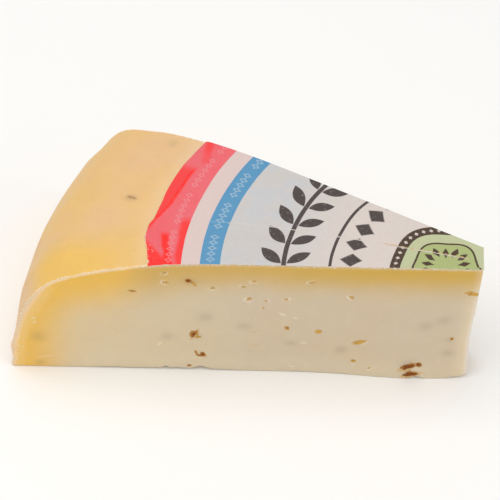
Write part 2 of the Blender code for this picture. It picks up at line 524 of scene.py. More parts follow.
@dataclass(frozen=True)
class Mark:
    """A seed, eye, dim seed or scratch on a face. Sizes are in millimetres and the tilt in degrees."""

    kind: MarkKind
    along: float
    up: float
    length: float
    width: float
    tilt: float = 0.0
    tone: float = 0.0

    def lengthways(self, along: Array, up: Array) -> tuple[Array, Array]:
        """Measures points from the mark's middle.

        Args:
            along: The points' first coordinate in metres.
            up: The points' second coordinate in metres.

        Returns:
            Their distances along and across the mark, in metres.
        """
        turn = math.radians(self.tilt)
        aside, above = along - self.along * MM, up - self.up * MM
        lengthways = aside * math.cos(turn) + above * math.sin(turn)
        return lengthways, above * math.cos(turn) - aside * math.sin(turn)

    def reach(self, along: Array, up: Array) -> Array:
        """Distance from the mark's middle, where 1 is its outline."""
        lengthways, crossways = self.lengthways(along, up)
        return np.hypot(lengthways / (self.length * MM / 2), crossways / (self.width * MM / 2))

    def covers(self, along: Array, up: Array, margin: float) -> Array:
        """Whether points, in metres, lie in the mark or within a margin of it in millimetres."""
        halves = ((self.length / 2 + margin) * MM, (self.width / 2 + margin) * MM)
        return sum((offset / half) ** 2 for offset, half in zip(self.lengthways(along, up), halves)) < 1


# Where the marks of the front cut and the crown lie: along, up, length, width, tilt and tone
FRONT_SEEDS = (
    (-21.7, 51.3, 2.5, 1.9, -25, 0.0), (-20.1, 50.4, 1.4, 0.9, -40, 0.6), (-19.2, 49.4, 1.6, 1.0, -60, 0.9),
    (-19.4, 20.9, 4.6, 1.7, 62, 0.0), (-20.7, 21.6, 2.4, 1.0, 75, 0.4), (-18.1, 19.6, 2.2, 0.8, 5, 0.8),
    (-18.6, 20.9, 1.7, 0.7, -50, 0.5), (-18.9, 9.8, 2.8, 0.9, -74, 0.25), (-17.0, 7.9, 3.4, 1.1, -15, 0.15),
    (-16.0, 9.1, 2.8, 1.4, -54, 0.0), (-21.6, 1.9, 1.5, 1.1, 0, 0.10), (-43.0, 45.0, 2.8, 0.9, -8, 0.45),
    (15.9, 25.6, 1.7, 1.5, -30, 0.50), (28.0, 24.0, 2.3, 1.9, 10, 1.0), (43.7, 18.5, 4.6, 1.8, 18, 0.95),
    (41.7, 8.1, 1.7, 1.2, 0, 0.75), (79.8, 21.6, 1.5, 1.1, 60, 0.35), (62.9, 5.7, 6.2, 2.7, 26, 0.0),
    (66.9, 6.9, 2.4, 2.2, 50, 0.1), (63.8, 1.3, 5.8, 2.3, 6, 0.0), (84.9, 48.0, 2.8, 1.1, 14, 1.0),
    (87.1, 47.3, 2.8, 1.4, -6, 1.0), (85.4, 46.9, 1.8, 0.7, 0, 0.8),
)
FRONT_EYES = (
    (-30.8, 55.4, 2.0, 1.1, 10, 0.1), (-30.2, 50.1, 2.4, 1.5, -10, 0.2), (-12.3, 47.5, 1.9, 1.4, 10, 0.8),
    (-0.9, 48.6, 2.1, 1.2, -20, 0.6), (3.4, 51.6, 2.0, 1.2, 0, 0.6), (1.4, 41.9, 2.1, 2.0, 60, 0.7),
    (7.9, 40.8, 1.4, 1.0, 0, 0.8), (6.7, 36.6, 1.2, 0.8, 30, 0.9), (15.5, 42.0, 2.0, 1.1, 20, 0.2),
    (25.3, 51.9, 2.8, 1.2, 12, 0.4), (40.3, 43.8, 2.1, 1.6, -35, 0.9), (48.0, 4.4, 1.6, 0.9, 60, 0.5),
)
FRONT_GHOSTS = (
    (-79.6, 17.8, 7.0, 8.0, 0, 1.0), (-79.2, 2.6, 5.6, 3.4, 0, 1.0), (-78.9, 2.6, 3.0, 1.8, 0, 1.0),
    (-21.1, 51.3, 8.5, 5.6, -15, 0.7), (-30.0, 19.4, 6.4, 5.4, 20, 0.0), (-15.3, 30.9, 8.0, 6.0, 20, 0.0),
    (-0.6, 26.3, 6.6, 4.4, 0, 0.0), (17.6, 16.9, 6.0, 3.8, 0, 0.0), (36.9, 13.9, 6.4, 5.6, 35, 0.0),
    (69.0, 28.5, 8.5, 6.0, 20, 0.0), (76.0, 32.0, 8.0, 6.0, 30, 0.0), (78.1, 13.7, 6.4, 4.4, 0, 0.0),
    (78.6, 21.0, 4.2, 3.4, 0, 0.0), (63.0, 8.2, 8.0, 4.2, 10, 0.0), (-19.0, 19.8, 6.0, 4.4, 0, 0.3),
)
FRONT_STREAKS = (
    (14.2, 33.4, 3.8, 1.3, -28), (19.2, 31.6, 2.4, 0.8, -25), (22.4, 17.4, 3.4, 1.0, 5),
    (45.6, 18.0, 4.6, 1.2, 25), (3.8, 23.2, 4.6, 0.8, 32, 0.8), (4.2, 15.1, 4.2, 0.9, -6, 0.8),
    (-33.0, 15.0, 2.4, 0.9, 42), (68.5, 2.6, 3.6, 1.4, -8, 0.8), (18.0, 3.2, 3.4, 0.8, -12),
    (-77.0, 6.1, 9.0, 0.34, 12), (-81.0, 28.2, 1.4, 0.9, 20), (-80.6, 26.0, 1.8, 1.0, -10),
)
CROWN_GHOSTS = (
    (-45.1, -6.6, 4.0, 1.9, -20, 1.0), (-43.9, -7.3, 3.8, 1.7, -30, 1.0), (-44.7, -7.1, 6.4, 4.0, -20, 0.3),
    (-29.9, 22.0, 6.0, 6.4, 20, 0.0),
)
# The least and most length and width in millimetres of each kind, where marks are scattered
SCATTER_SIZES = {
    MarkKind.SEED: ((2.2, 5.0), (1.5, 2.2)),
    MarkKind.EYE: ((1.4, 2.4), (0.9, 1.6)),
    MarkKind.GHOST: ((5.0, 8.0), (3.6, 6.0)),
    MarkKind.STREAK: ((2.4, 5.0), (0.6, 0.9)),
}
MASKS = ("height", "hollow", "lip", "ghost", "ghost_tone")


@dataclass
class Marks:
    """All the marks of the wedge. The front and crown follow the real piece, and the rest is scattered."""

    form: WedgeForm
    scatter_seed: int = 11
    by_face: dict[Face, list[Mark]] = field(default_factory=dict)

    def __post_init__(self) -> None:
        """Fills the lists of marks."""
        front = ((MarkKind.SEED, FRONT_SEEDS), (MarkKind.EYE, FRONT_EYES))
        front += ((MarkKind.GHOST, FRONT_GHOSTS), (MarkKind.STREAK, FRONT_STREAKS))
        self.by_face[Face.FRONT] = [Mark(kind, *row) for kind, rows in front for row in rows]
        self.by_face[Face.CROWN] = [Mark(MarkKind.GHOST, *row) for row in CROWN_GHOSTS]
        rng = random.Random(self.scatter_seed)
        self.by_face[Face.BACK] = self.scattered(Face.BACK, rng, (24.0, 200.0), (2.0, 56.0), 46)
        self.by_face[Face.TIP] = self.scattered(Face.TIP, rng, (1.5, 11.0), (3.0, 57.0), 6)
        self.by_face[Face.BASE] = self.scattered(Face.BASE, rng, (-86.0, 86.0), (-43.0, 42.0), 54)
        self.by_face[Face.RIM] = self.scattered(Face.RIM, rng, (-96.0, 0.0), (4.0, 34.0), 5)

    def scattered(
        self, face: Face, rng: random.Random, along: Span, up: Span, count: int
    ) -> list[Mark]:
        """Spreads marks over a face, apart from one another and from its edges.

        Args:
            face: The face.
            rng: The source of chance.
            along: Lowest and highest first coordinate in millimetres.
            up: Lowest and highest second coordinate in millimetres.
            count: How many marks there are at most.

        Returns:
            The marks.
        """
        kinds = [MarkKind.SEED, MarkKind.EYE, MarkKind.EYE, MarkKind.GHOST, MarkKind.GHOST, MarkKind.STREAK]
        if face is Face.RIM:
            kinds = [MarkKind.GHOST]
        chart, found = Chart(self.form, face), []
        for _ in range(count * 30):
            if len(found) == count:
                break
            place = (rng.uniform(*along), rng.uniform(*up))
            if any(math.dist(place, (mark.along, mark.up)) < 7.0 for mark in found):
                continue
            point = np.array([chart.spot(place[0] * MM, place[1] * MM).translation])
            if Gaps.measure(self.form, point).inner_margin(face)[0] < 3.2 * MM:
                continue
            kind = rng.choice(kinds)
            length, width = (rng.uniform(*ends) for ends in SCATTER_SIZES[kind])
            found.append(Mark(kind, *place, length, width, rng.uniform(-60, 60), rng.random() ** 1.5))
        return found

    def on(self, face: Face, kind: MarkKind) -> list[Mark]:
        """The marks of one kind on one face."""
        return [mark for mark in self.by_face[face] if mark.kind is kind]

    def covered(self, face: Face, along: Array, up: Array, margin: float) -> Array:
        """Whether points on a face lie in or near a mark with crisp relief.

        Args:
            face: The face.
            along: The points' first coordinate in metres.
            up: The points' second coordinate in metres.
            margin: How far round the marks still counts, in millimetres.

        Returns:
            True or false for each point.
        """
        found = np.zeros(len(along), bool)
        for mark in self.by_face[face]:
            if mark.kind is not MarkKind.GHOST or face is Face.CROWN:
                found |= mark.covers(along, up, margin)
        return found

    def effects(self, face: Face, along: Array, up: Array, fray: Array) -> dict[str, Array]:
        """What the marks of a face do at points of it.

        Args:
            face: The face.
            along: The points' first coordinate in metres.
            up: The points' second coordinate in metres.
            fray: Fine noise at the points, which makes the outlines ragged.

        Returns:
            How far the skin moves outward, and the mask of each colour effect.
        """
        found = {name: np.zeros(len(along)) for name in MASKS}
        for mark in self.by_face[face]:
            reach = mark.reach(along, up)
            close = np.flatnonzero(reach < 2.6)
            ragged = {MarkKind.GHOST: 0.2, MarkKind.EYE: 0.6}.get(mark.kind, 0.3)
            reach = reach[close] * (1 + ragged * fray[close])
            lengthways, crossways = mark.lengthways(along[close], up[close])
            torn_side = np.cos(np.arctan2(crossways, lengthways) + 2.4 * mark.along)
            torn = np.clip(0.5 + 0.8 * torn_side + 1.1 * fray[close], 0, 1.2)
            stamped = self.stamp(mark, reach, torn)
            for name, values in stamped.items():
                before = found[name][close]
                if name == "height":
                    found[name][close] = np.where(np.abs(values) > np.abs(before), values, before)
                elif name == "ghost_tone":
                    found[name][close] = np.where(stamped["ghost"] >= found["ghost"][close], values, before)
                else:
                    found[name][close] = np.maximum(before, values)
        return found

    @staticmethod
    def stamp(mark: Mark, reach: Array, torn: Array) -> dict[str, Array]:
        """What one mark does.

        Args:
            mark: The mark.
            reach: Distance from its middle, where 1 is its outline.
            torn: How torn the lip is, about 0 to 1.

        Returns:
            The mark's values by name. The height is in metres.
        """
        ring = np.exp(-(((reach - 1.45) / 0.36) ** 2)) * torn
        inside = ease(reach, 1.1, 0.65)
        # The hollow mask carries painted shade in eye hollows and grooves, and round seeds both a stain and
        # painted shade.
        if mark.kind is MarkKind.EYE:
            depth = min(0.32, mark.width * 0.22) * MM
            strength = 0.6 + 0.35 * mark.tone
            return {"hollow": inside * strength, "lip": ring, "height": 0.10 * MM * ring - depth * inside}
        if mark.kind is MarkKind.SEED:
            socket = ease(reach, 1.3, 0.9)
            lift = 0.05 * MM * ring - 0.14 * MM * socket
            return {"hollow": 0.7 * ease(reach, 1.7, 0.9), "lip": 0.3 * ring * (reach > 1.6), "height": lift}
        if mark.kind is MarkKind.GHOST:
            glow = np.exp(-(reach**2) * 1.6) * (0.72 + 0.5 * mark.tone)
            return {"ghost_tone": np.full(len(reach), mark.tone), "ghost": glow}
        groove = ease(reach, 1.2, 0.5)
        if mark.tone > 0.5:
            return {"hollow": 0.3 * groove, "height": -0.05 * MM * groove}
        return {"lip": 0.9 * groove, "height": 0.05 * MM * groove}


# Shader graphs


class NodeSheet:
    """A node tree, with short calls that add nodes and join them."""

    def __init__(self, tree: NodeTree) -> None:
        """Takes the tree to build in."""
        self.tree = tree
        self.column = 0

    def add(self, kind: str, **settings: object) -> Node:
        """Adds a node and sets its options.

        Args:
            kind: Blender's name for the node, without the word ShaderNode.
            settings: Options of the node by name.

        Returns:
            The node.
        """
        node = self.tree.nodes.new(f"ShaderNode{kind}")
        self.column += 1
        node.location = (self.column % 12 * 190, -(self.column // 12) * 320)
        for name, value in settings.items():
            setattr(node, name, value)
        return node

    def put(self, socket: NodeSocket, value: object) -> None:
        """Links a socket to an output, or sets its value.

        Args:
            socket: The input.
            value: An output, a number, a vector or a display colour.
        """
        if isinstance(value, NodeSocket):
            self.tree.links.new(value, socket)
        else:
            socket.default_value = linear(value) if socket.type == "RGBA" else value

    def feed(self, node: Node, **values: object) -> Node:
        """Sets or links a node's inputs.

        Args:
            node: The node.
            values: What goes into each input, by its name with underscores for spaces.

        Returns:
            The same node.
        """
        for name, value in values.items():
            self.put(node.inputs[name.replace("_", " ")], value)
        return node

    def fill(self, node: Node, values: Sequence[object]) -> NodeSocket:
        """Sets or links a node's first inputs in turn.

        Args:
            node: The node.
            values: What goes into each.

        Returns:
            The node's first output.
        """
        for socket, value in zip(node.inputs, values):
            self.put(socket, value)
        return node.outputs[0]

    def math(self, operation: str, first: object, second: object = 0.0, clamp: bool = False) -> NodeSocket:
        """Works out a number by one of Blender's operations, held between 0 and 1 where clamp is set."""
        return self.fill(self.add("Math", operation=operation, use_clamp=clamp), (first, second))

    plus = partialmethod(math, "ADD")
    minus = partialmethod(math, "SUBTRACT")
    times = partialmethod(math, "MULTIPLY")
    over = partialmethod(math, "DIVIDE")
    larger = partialmethod(math, "MAXIMUM")

    def blend(self, share: object, low: object, high: object, mode: str = "MIX") -> NodeSocket:
        """Mixes two colours.

        Args:
            share: How much of the second colour there is, from 0 to 1.
            low: The first colour.
            high: The second colour.
            mode: Blender's name for the way of mixing.

        Returns:
            The mixed colour.
        """
        node = self.add("Mix", data_type="RGBA", blend_type=mode)
        for number, value in ((0, share), (6, low), (7, high)):
            self.put(node.inputs[number], value)
        return node.outputs[2]

    def grade(self, value: object, *ends: float) -> NodeSocket:
        """Maps a number smoothly from the range of the first two ends to the next two, or to 0 and 1."""
        return self.fill(self.add("MapRange", interpolation_type="SMOOTHSTEP"), (value, *ends))

    def layer(self, name: str) -> NodeSocket:
        """A number that the mesh stores for each vertex."""
        return self.add("Attribute", attribute_name=name).outputs["Fac"]

    def parts(self, place: NodeSocket) -> tuple[NodeSocket, ...]:
        """The x, y and z of a point."""
        return tuple(self.feed(self.add("SeparateXYZ"), Vector=place).outputs)

    def noise(self, place: NodeSocket, scale: object, detail: float, distortion: float = 0.0) -> NodeSocket:
        """Noise from 0 to 1 at a point, finer as its scale grows."""
        node = self.add("TexNoise")
        return self.feed(node, Vector=place, Scale=scale, Detail=detail, Distortion=distortion).outputs["Fac"]

    def group(self, tree: NodeTree, **values: object) -> tuple[NodeSocket, ...]:
        """Places a node group, feeds its inputs and gives its outputs."""
        return tuple(self.feed(self.add("Group", node_tree=tree), **values).outputs)


class GroupSheet(NodeSheet):
    """A node group under way, with its inputs as sockets to link from."""

    def __init__(self, name: str, outputs: Sequence[str], **inputs: object) -> None:
        """Starts a node group.

        Args:
            name: The group's name.
            outputs: Names of the numbers that it puts out.
            inputs: Default values by input name, with underscores for spaces, and three numbers for a vector.
        """
        super().__init__(bpy.data.node_groups.new(name, "ShaderNodeTree"))
        for label, value in inputs.items():
            kind = "NodeSocketVector" if isinstance(value, tuple) else "NodeSocketFloat"
            name = label.replace("_", " ")
            socket = self.tree.interface.new_socket(name=name, in_out="INPUT", socket_type=kind)
            socket.default_value = value
        for label in outputs:
            self.tree.interface.new_socket(name=label, in_out="OUTPUT", socket_type="NodeSocketFloat")
        self.given = tuple(self.tree.nodes.new("NodeGroupInput").outputs)[: len(inputs)]
        self.end = self.tree.nodes.new("NodeGroupOutput")

    def finished(self, **results: NodeSocket) -> NodeTree:
        """Puts out the results by name, and gives the group."""
        self.feed(self.end, **results)
        return self.tree


class Effects:
    """The effects that several materials share, each built once as a node group."""

    def __init__(self, form: WedgeForm) -> None:
        """Builds the groups, with the wheel's axis from the form."""
        self.grain, self.wheel_place = self.build_grain(), self.build_wheel_place(form)
        self.band, self.chain, self.wreath = self.build_band(), self.build_chain(), self.build_wreath()

    @staticmethod
    def build_grain() -> NodeTree:
        """Lumps of two sizes, as a tone about 1 and a height.

        Returns:
            The group.
        """
        sizes = {"Coarse": 80.0, "Fine": 700.0, "Contrast": 0.05}
        sheet = GroupSheet("curd_grain", ("Tone", "Height"), Place=(0.0, 0.0, 0.0), **sizes)
        place, coarse, fine, contrast = sheet.given
        lumps = sheet.times(sheet.noise(place, coarse, 2.0), 0.6)
        height = sheet.plus(lumps, sheet.times(sheet.noise(place, fine, 3.0), 0.4))
        tone = sheet.plus(sheet.times(sheet.minus(height, 0.5), contrast), 1.0)
        return sheet.finished(Tone=tone, Height=height)

    @staticmethod
    def build_wheel_place(form: WedgeForm) -> NodeTree:
        """Radius from the wheel's axis in millimetres, and angle about it in radians.

        Args:
            form: The wedge's form.

        Returns:
            The group.
        """
        axis = (*form.wheel.tolist(), 0.0)
        sheet = GroupSheet("wheel_place", ("Radius", "Angle"), Place=(0.0, 0.0, 0.0), Axis=axis)
        x, y, _ = sheet.parts(sheet.fill(sheet.add("VectorMath", operation="SUBTRACT"), sheet.given))
        squares = sheet.plus(sheet.math("POWER", x, 2.0), sheet.math("POWER", y, 2.0))
        radius = sheet.times(sheet.math("SQRT", squares), 1000.0)
        return sheet.finished(Radius=radius, Angle=sheet.math("ARCTAN2", y, sheet.times(x, -1.0)))

    @staticmethod
    def build_band() -> NodeTree:
        """A mask that is 1 between two radii.

        Returns:
            The group.
        """
        sheet = GroupSheet("ring_band", ("Mask",), Radius=0.0, Inner=0.0, Outer=1.0, Softness=0.12)
        radius, inner, outer, softness = sheet.given
        into = sheet.plus(sheet.over(sheet.minus(radius, inner), softness), 0.5, clamp=True)
        out = sheet.plus(sheet.over(sheet.minus(outer, radius), softness), 0.5, clamp=True)
        return sheet.finished(Mask=sheet.times(into, out))

    @staticmethod
    def build_chain() -> NodeTree:
        """A mask of lozenges in a row round a ring, with gaps between runs of them.

        Returns:
            The group.
        """
        row = {"Radius": 0.0, "Angle": 0.0, "Ring": 100.0, "Pitch": 4.0}
        lozenge = {"Half_Length": 1.0, "Half_Height": 1.0, "Phase": 0.0}
        runs = {"Run": 5.0, "Filled": 1.0, "Inner": -1.0}
        sheet = GroupSheet("lozenge_chain", ("Mask",), **row, **lozenge, **runs)
        radius, angle, ring, pitch, half_length, half_height, phase, run, filled, inner = sheet.given
        steps = sheet.plus(sheet.over(sheet.times(angle, ring), pitch), phase)
        along = sheet.math("ABSOLUTE", sheet.minus(sheet.math("FRACT", steps), 0.5))
        along = sheet.over(sheet.times(along, pitch), half_length)
        across = sheet.over(sheet.math("ABSOLUTE", sheet.minus(radius, ring)), half_height)
        total = sheet.plus(along, across)
        hole = sheet.grade(sheet.minus(total, inner), -0.12, 0.12)
        shape = sheet.times(sheet.grade(total, 1.12, 0.88), hole)
        turn = sheet.math("FRACT", sheet.over(sheet.math("FLOOR", steps), run))
        return sheet.finished(Mask=sheet.times(shape, sheet.math("LESS_THAN", turn, filled)))

    @staticmethod
    def build_wreath() -> NodeTree:
        """A mask of a round stem with pairs of plain leaves.

        Returns:
            The group.
        """
        stem_sizes = {"Radius": 0.0, "Angle": 0.0, "Ring": 60.0, "Pitch": 10.0, "Phase": 0.0}
        leaf_sizes = {"Leaf_Offset": 5.0, "Leaf_Half_Length": 5.0, "Leaf_Half_Width": 2.0}
        lean = {"Cosine": 0.64, "Sine": 0.77}
        sheet = GroupSheet("leaf_wreath", ("Mask",), **stem_sizes, **leaf_sizes, **lean, Stem=0.8)
        radius, angle, ring, pitch, phase, offset, half_length, half_width, cosine, sine, stem = sheet.given
        steps = sheet.plus(sheet.over(sheet.times(angle, ring), pitch), phase)
        along = sheet.times(sheet.minus(sheet.math("FRACT", steps), 0.5), pitch)
        side = sheet.math("ABSOLUTE", sheet.minus(radius, ring))
        across = sheet.minus(side, offset)
        length = sheet.over(sheet.plus(sheet.times(along, cosine), sheet.times(across, sine)), half_length)
        width = sheet.minus(sheet.times(across, cosine), sheet.times(along, sine))
        width = sheet.over(sheet.math("ABSOLUTE", width), half_width)
        leaf = sheet.plus(sheet.math("POWER", sheet.math("ABSOLUTE", length), 2.0), width)
        stalk = sheet.grade(sheet.over(side, stem), 1.1, 0.9)
        return sheet.finished(Mask=sheet.larger(sheet.grade(leaf, 1.06, 0.94), stalk))


class Canvas(NodeSheet):
    """A material under way, with its shader and the shared effects."""

    def __init__(self, name: str, effects: Effects | None = None) -> None:
        """Starts a material.

        Args:
            name: The material's name.
            effects: The shared node groups, or None where it uses none.
        """
        self.material = bpy.data.materials.new(name)
        self.material.use_nodes = True
        super().__init__(self.material.node_tree)
        self.shader = self.tree.nodes["Principled BSDF"]
        self.effects = effects

    @cached_property
    def spot(self) -> NodeSocket:
        """The point on the surface, in the piece's own frame."""
        return self.add("TexCoord").outputs["Object"]

    def clouds(self, size: float, detail: float = 3.0, distortion: float = 0.0) -> NodeSocket:
        """Noise over the surface from 0 to 1, whose lumps are about size apart."""
        return self.noise(self.spot, 1 / size, detail, distortion)

    def band(self, radius: NodeSocket, inner: float, outer: float) -> NodeSocket:
        """The mask of a ring between two radii."""
        return self.group(self.effects.band, Radius=radius, Inner=inner, Outer=outer)[0]

    def chain(self, **sizes: object) -> NodeSocket:
        """The mask of a row of lozenges."""
        return self.group(self.effects.chain, **sizes)[0]

    def dent(self, height: NodeSocket, strength: float, depth: float) -> None:
        """Gives the surface a fine relief."""
        relief = self.feed(self.add("Bump"), Strength=strength, Distance=depth, Height=height)
        self.put(self.shader.inputs["Normal"], relief.outputs[0])


# Finishes


@dataclass(frozen=True)
class Grain:
    """A surface's fine grain: its size, and how much it changes the tone, the gloss and the relief."""

    coarse: float
    fine: float
    contrast: float
    roughness: float
    spread: float = 0.07
    relief: float = 0.0
    relief_depth: float = 0.0006
    gloss: float = 0.5

    def apply(self, sheet: Canvas, colour: object) -> None:
        """Feeds a material's shader with a colour, a roughness and a relief.

        Args:
            sheet: The material's sheet.
            colour: The surface's colour without the grain.
        """
        sizes = {"Coarse": self.coarse, "Fine": self.fine, "Contrast": self.contrast}
        tone, height = sheet.group(sheet.effects.grain, Place=sheet.spot, **sizes)
        low, high = self.roughness - self.spread, self.roughness + self.spread
        sheet.feed(sheet.shader, Base_Color=sheet.blend(1.0, colour, tone, "MULTIPLY"))
        sheet.feed(sheet.shader, Roughness=sheet.grade(height, 0.3, 0.7, low, high))
        sheet.feed(sheet.shader, Specular_IOR_Level=self.gloss)
        if self.relief:
            sheet.dent(height, self.relief, self.relief_depth)


@dataclass(frozen=True)
class Glow:
    """How far light spreads inside a material."""

    weight: float
    scale: float
    radius: Triple = (1.0, 0.6, 0.3)

    def apply(self, sheet: Canvas) -> None:
        """Sets the shader's inner scattering."""
        sheet.feed(sheet.shader, Subsurface_Weight=self.weight, Subsurface_Scale=self.scale)
        sheet.feed(sheet.shader, Subsurface_Radius=self.radius)


@dataclass(frozen=True)
class Finish:
    """What every finish has: a name, a grain and, where light enters the surface, a glow."""

    name: str
    grain: Grain
    glow: Glow | None = None

    def material(self, effects: Effects) -> Material:
        """Builds the material.

        Args:
            effects: The shared node groups.

        Returns:
            The material.
        """
        sheet = Canvas(self.name, effects)
        self.grain.apply(sheet, self.tint(sheet))
        if self.glow:
            self.glow.apply(sheet)
        return sheet.material

    def tint(self, sheet: Canvas) -> object:
        """The surface's colour without its grain, which each finish works out on the material's sheet."""
        raise NotImplementedError(sheet.material.name)


@dataclass(frozen=True)
class PasteFinish(Finish):
    """The cut face of the cheese: cream inside, amber under the rind."""

    name: str = "cut_cheese"
    grain: Grain = Grain(160.0, 1500.0, 0.14, 0.5, relief=0.25)
    glow: Glow = Glow(0.2, 0.003)
    cream: Colour = (218, 200, 169)
    cream_cool: Colour = (216, 198, 170)
    # Painted light: a lighter, warmer cream for the left of the cut, where more light falls.
    cream_lit_left: Colour = (226, 206, 168)
    # Painted light: a lighter cream for the lowest part of the cut, against the shade near the floor.
    cream_lit_low: Colour = (230, 213, 182)
    peach: Colour = (222, 192, 151)
    amber: Colour = (244, 193, 78)
    ochre: Colour = (216, 174, 68)
    ochre_warm: Colour = (218, 178, 108)
    golden: Colour = (247, 205, 122)
    dry_peach: Colour = (250, 213, 160)
    dry_pale: Colour = (238, 210, 172)
    # Painted highlights: pale and whiter strips along the tip's edge, where its rounded corner catches the
    # light.
    tip_painted_light: Colour = (236, 216, 180)
    tip_painted_highlight: Colour = (236, 223, 208)
    dim: Colour = (158, 138, 112)
    dim_amber: Colour = (196, 156, 84)
    # Partly painted shade: a darker orange for the insides of eyes and grooves and the ring round seeds,
    # partly their stain.
    hollow: Colour = (212, 164, 80)
    lip: Colour = (246, 233, 212)

    def tint(self, sheet: Canvas) -> NodeSocket:
        """Colours the cuts, with the seeds, eyes and dim seeds in them.

        Args:
            sheet: The material's sheet.

        Returns:
            The colour.
        """
        colour = self.dried(sheet, self.paste(sheet))
        dim = sheet.blend(sheet.layer("ghost_tone"), self.dim, self.dim_amber)
        colour = sheet.blend(sheet.times(sheet.layer("ghost"), 0.38), colour, dim)
        colour = sheet.blend(sheet.times(sheet.layer("lip"), 0.6, clamp=True), colour, self.lip)
        # Painted shade, partly a stain: darker orange in eye hollows, grooves and seed sockets.
        return sheet.blend(sheet.layer("hollow"), colour, self.hollow)

    def paste(self, sheet: Canvas) -> NodeSocket:
        """Colours the paste by its depth under the rind, with painted light: lighter and warmer to the left,
        lighter near the base, and painted highlights along the tip's edge.

        Args:
            sheet: The material's sheet.

        Returns:
            The colour.
        """
        x, _, z = sheet.parts(sheet.spot)
        stray = sheet.times(sheet.minus(sheet.clouds(0.016), 0.5), 4.0)
        depth = sheet.larger(sheet.plus(sheet.layer("rind_depth"), stray), 0.0)
        share = sheet.math("POWER", sheet.over(depth, sheet.layer("band_width")), 2.6)
        share = sheet.math("EXPONENT", sheet.times(share, -1.0))
        cream = sheet.blend(sheet.grade(sheet.clouds(0.05, 2.0), 0.35, 0.65), self.cream, self.cream_cool)
        # Painted light: the cut is painted lighter and warmer towards its left end.
        cream = sheet.blend(sheet.layer("warmth"), cream, self.cream_lit_left)
        # Painted light: lighter within about 14 mm of the base, to offset the shade there.
        cream = sheet.blend(sheet.grade(z, 0.014, 0.003, 0.0, 0.5), cream, self.cream_lit_low)
        patches = sheet.grade(sheet.clouds(0.034, 2.0, 0.5), 0.52, 0.72, 0.0, 0.3)
        cream = sheet.blend(patches, cream, self.peach)
        tip = sheet.layer("tip_edge")
        # Painted highlight: paler, then whiter, close to the tip's edge.
        cream = sheet.blend(sheet.grade(tip, 8.0, 0.0, 0.0, 0.85), cream, self.tip_painted_light)
        cream = sheet.blend(sheet.grade(tip, 2.2, 0.6, 0.0, 0.8), cream, self.tip_painted_highlight)
        ochre = sheet.blend(sheet.grade(x, 0.060, -0.020, 0.0, 0.45), self.ochre, self.ochre_warm)
        band = sheet.blend(sheet.layer("under_film"), self.amber, ochre)
        # Painted highlight on the amber band near the tip's edge.
        band = sheet.blend(sheet.grade(tip, 4.0, 0.0, 0.0, 0.4), band, self.tip_painted_light)
        return sheet.blend(share, cream, band)

    def dried(self, sheet: Canvas, colour: NodeSocket) -> NodeSocket:
        """Dries the paste beside the rind, in a wider strip down the rim, and frays it under the film.

        Args:
            sheet: The material's sheet.
            colour: The paste's colour.

        Returns:
            The colour.
        """
        ragged = sheet.times(sheet.minus(sheet.clouds(0.0016), 0.5), 1.1)
        dry_width = sheet.layer("dry_width")
        share = sheet.plus(sheet.over(sheet.layer("rind_depth"), dry_width), ragged)
        covered = sheet.layer("under_film")
        bare = sheet.grade(covered, 0.1, 0.75, 1.0, 0.0)
        rim = sheet.times(sheet.grade(dry_width, 1.0, 2.0), bare)
        colour = sheet.blend(sheet.times(sheet.grade(share, 3.2, 1.4, 0.0, 0.8), rim), colour, self.golden)
        colour = sheet.blend(sheet.times(sheet.grade(share, 1.3, 0.5), bare), colour, self.dry_peach)
        pale = sheet.times(sheet.grade(share, 0.65, 0.2), rim)
        fringe = sheet.times(sheet.grade(share, 1.7, 0.7, 0.0, 0.34), covered)
        return sheet.blend(sheet.larger(pale, fringe), colour, self.dry_pale)


@dataclass(frozen=True)
class RindFinish(Finish):
    """The dry, slightly waxy rind of the crown and rim."""

    name: str = "rind"
    grain: Grain = Grain(110.0, 900.0, 0.14, 0.5, relief=0.3, relief_depth=0.0008, gloss=0.3)
    glow: Glow = Glow(0.2, 0.003)
    peach: Colour = (229, 189, 140)
    golden: Colour = (235, 191, 102)
    dust: Colour = (240, 216, 184)
    edge: Colour = (243, 212, 174)
    ghost: Colour = (112, 68, 24)
    freckle: Colour = (200, 158, 106)
    dim: Colour = (202, 168, 122)
    # Painted shade: dark brown where marks dent the rind.
    hollow: Colour = (120, 96, 58)

    def tint(self, sheet: Canvas) -> NodeSocket:
        """Colours the rind, with its dust, freckles and dim seeds, and its dry edges.

        Args:
            sheet: The material's sheet.

        Returns:
            The colour.
        """
        patches = sheet.grade(sheet.clouds(0.04, 2.0, 0.4), 0.42, 0.66, 0.0, 0.26)
        # The golden mask is a real yellower rind near the front cut and painted shade on the shoulder.
        golden = sheet.plus(sheet.layer("golden"), patches, clamp=True)
        colour = sheet.blend(golden, self.peach, self.golden)
        speck = sheet.grade(sheet.clouds(0.0016, 1.0), 0.70, 0.80, 0.0, 0.3)
        speck = sheet.larger(speck, sheet.times(sheet.layer("film_halo"), 0.22))
        colour = sheet.blend(speck, colour, self.dust)
        dark = sheet.grade(sheet.clouds(0.0042, 1.0, 0.6), 0.70, 0.84, 0.0, 0.2)
        colour = sheet.blend(dark, colour, self.freckle)
        dim = sheet.blend(sheet.layer("ghost_tone"), self.dim, self.ghost)
        colour = sheet.blend(sheet.times(sheet.layer("ghost"), 0.62, clamp=True), colour, dim)
        ragged = sheet.grade(sheet.clouds(0.0016), 0.3, 0.7, 0.3, 1.3)
        edge = sheet.grade(sheet.over(sheet.layer("cut_gap"), ragged), 1.3, 0.4, 0.0, 0.8)
        colour = sheet.blend(edge, colour, self.edge)
        # Painted shade: darker where marks dent the rind.
        return sheet.blend(sheet.layer("hollow"), colour, self.hollow)


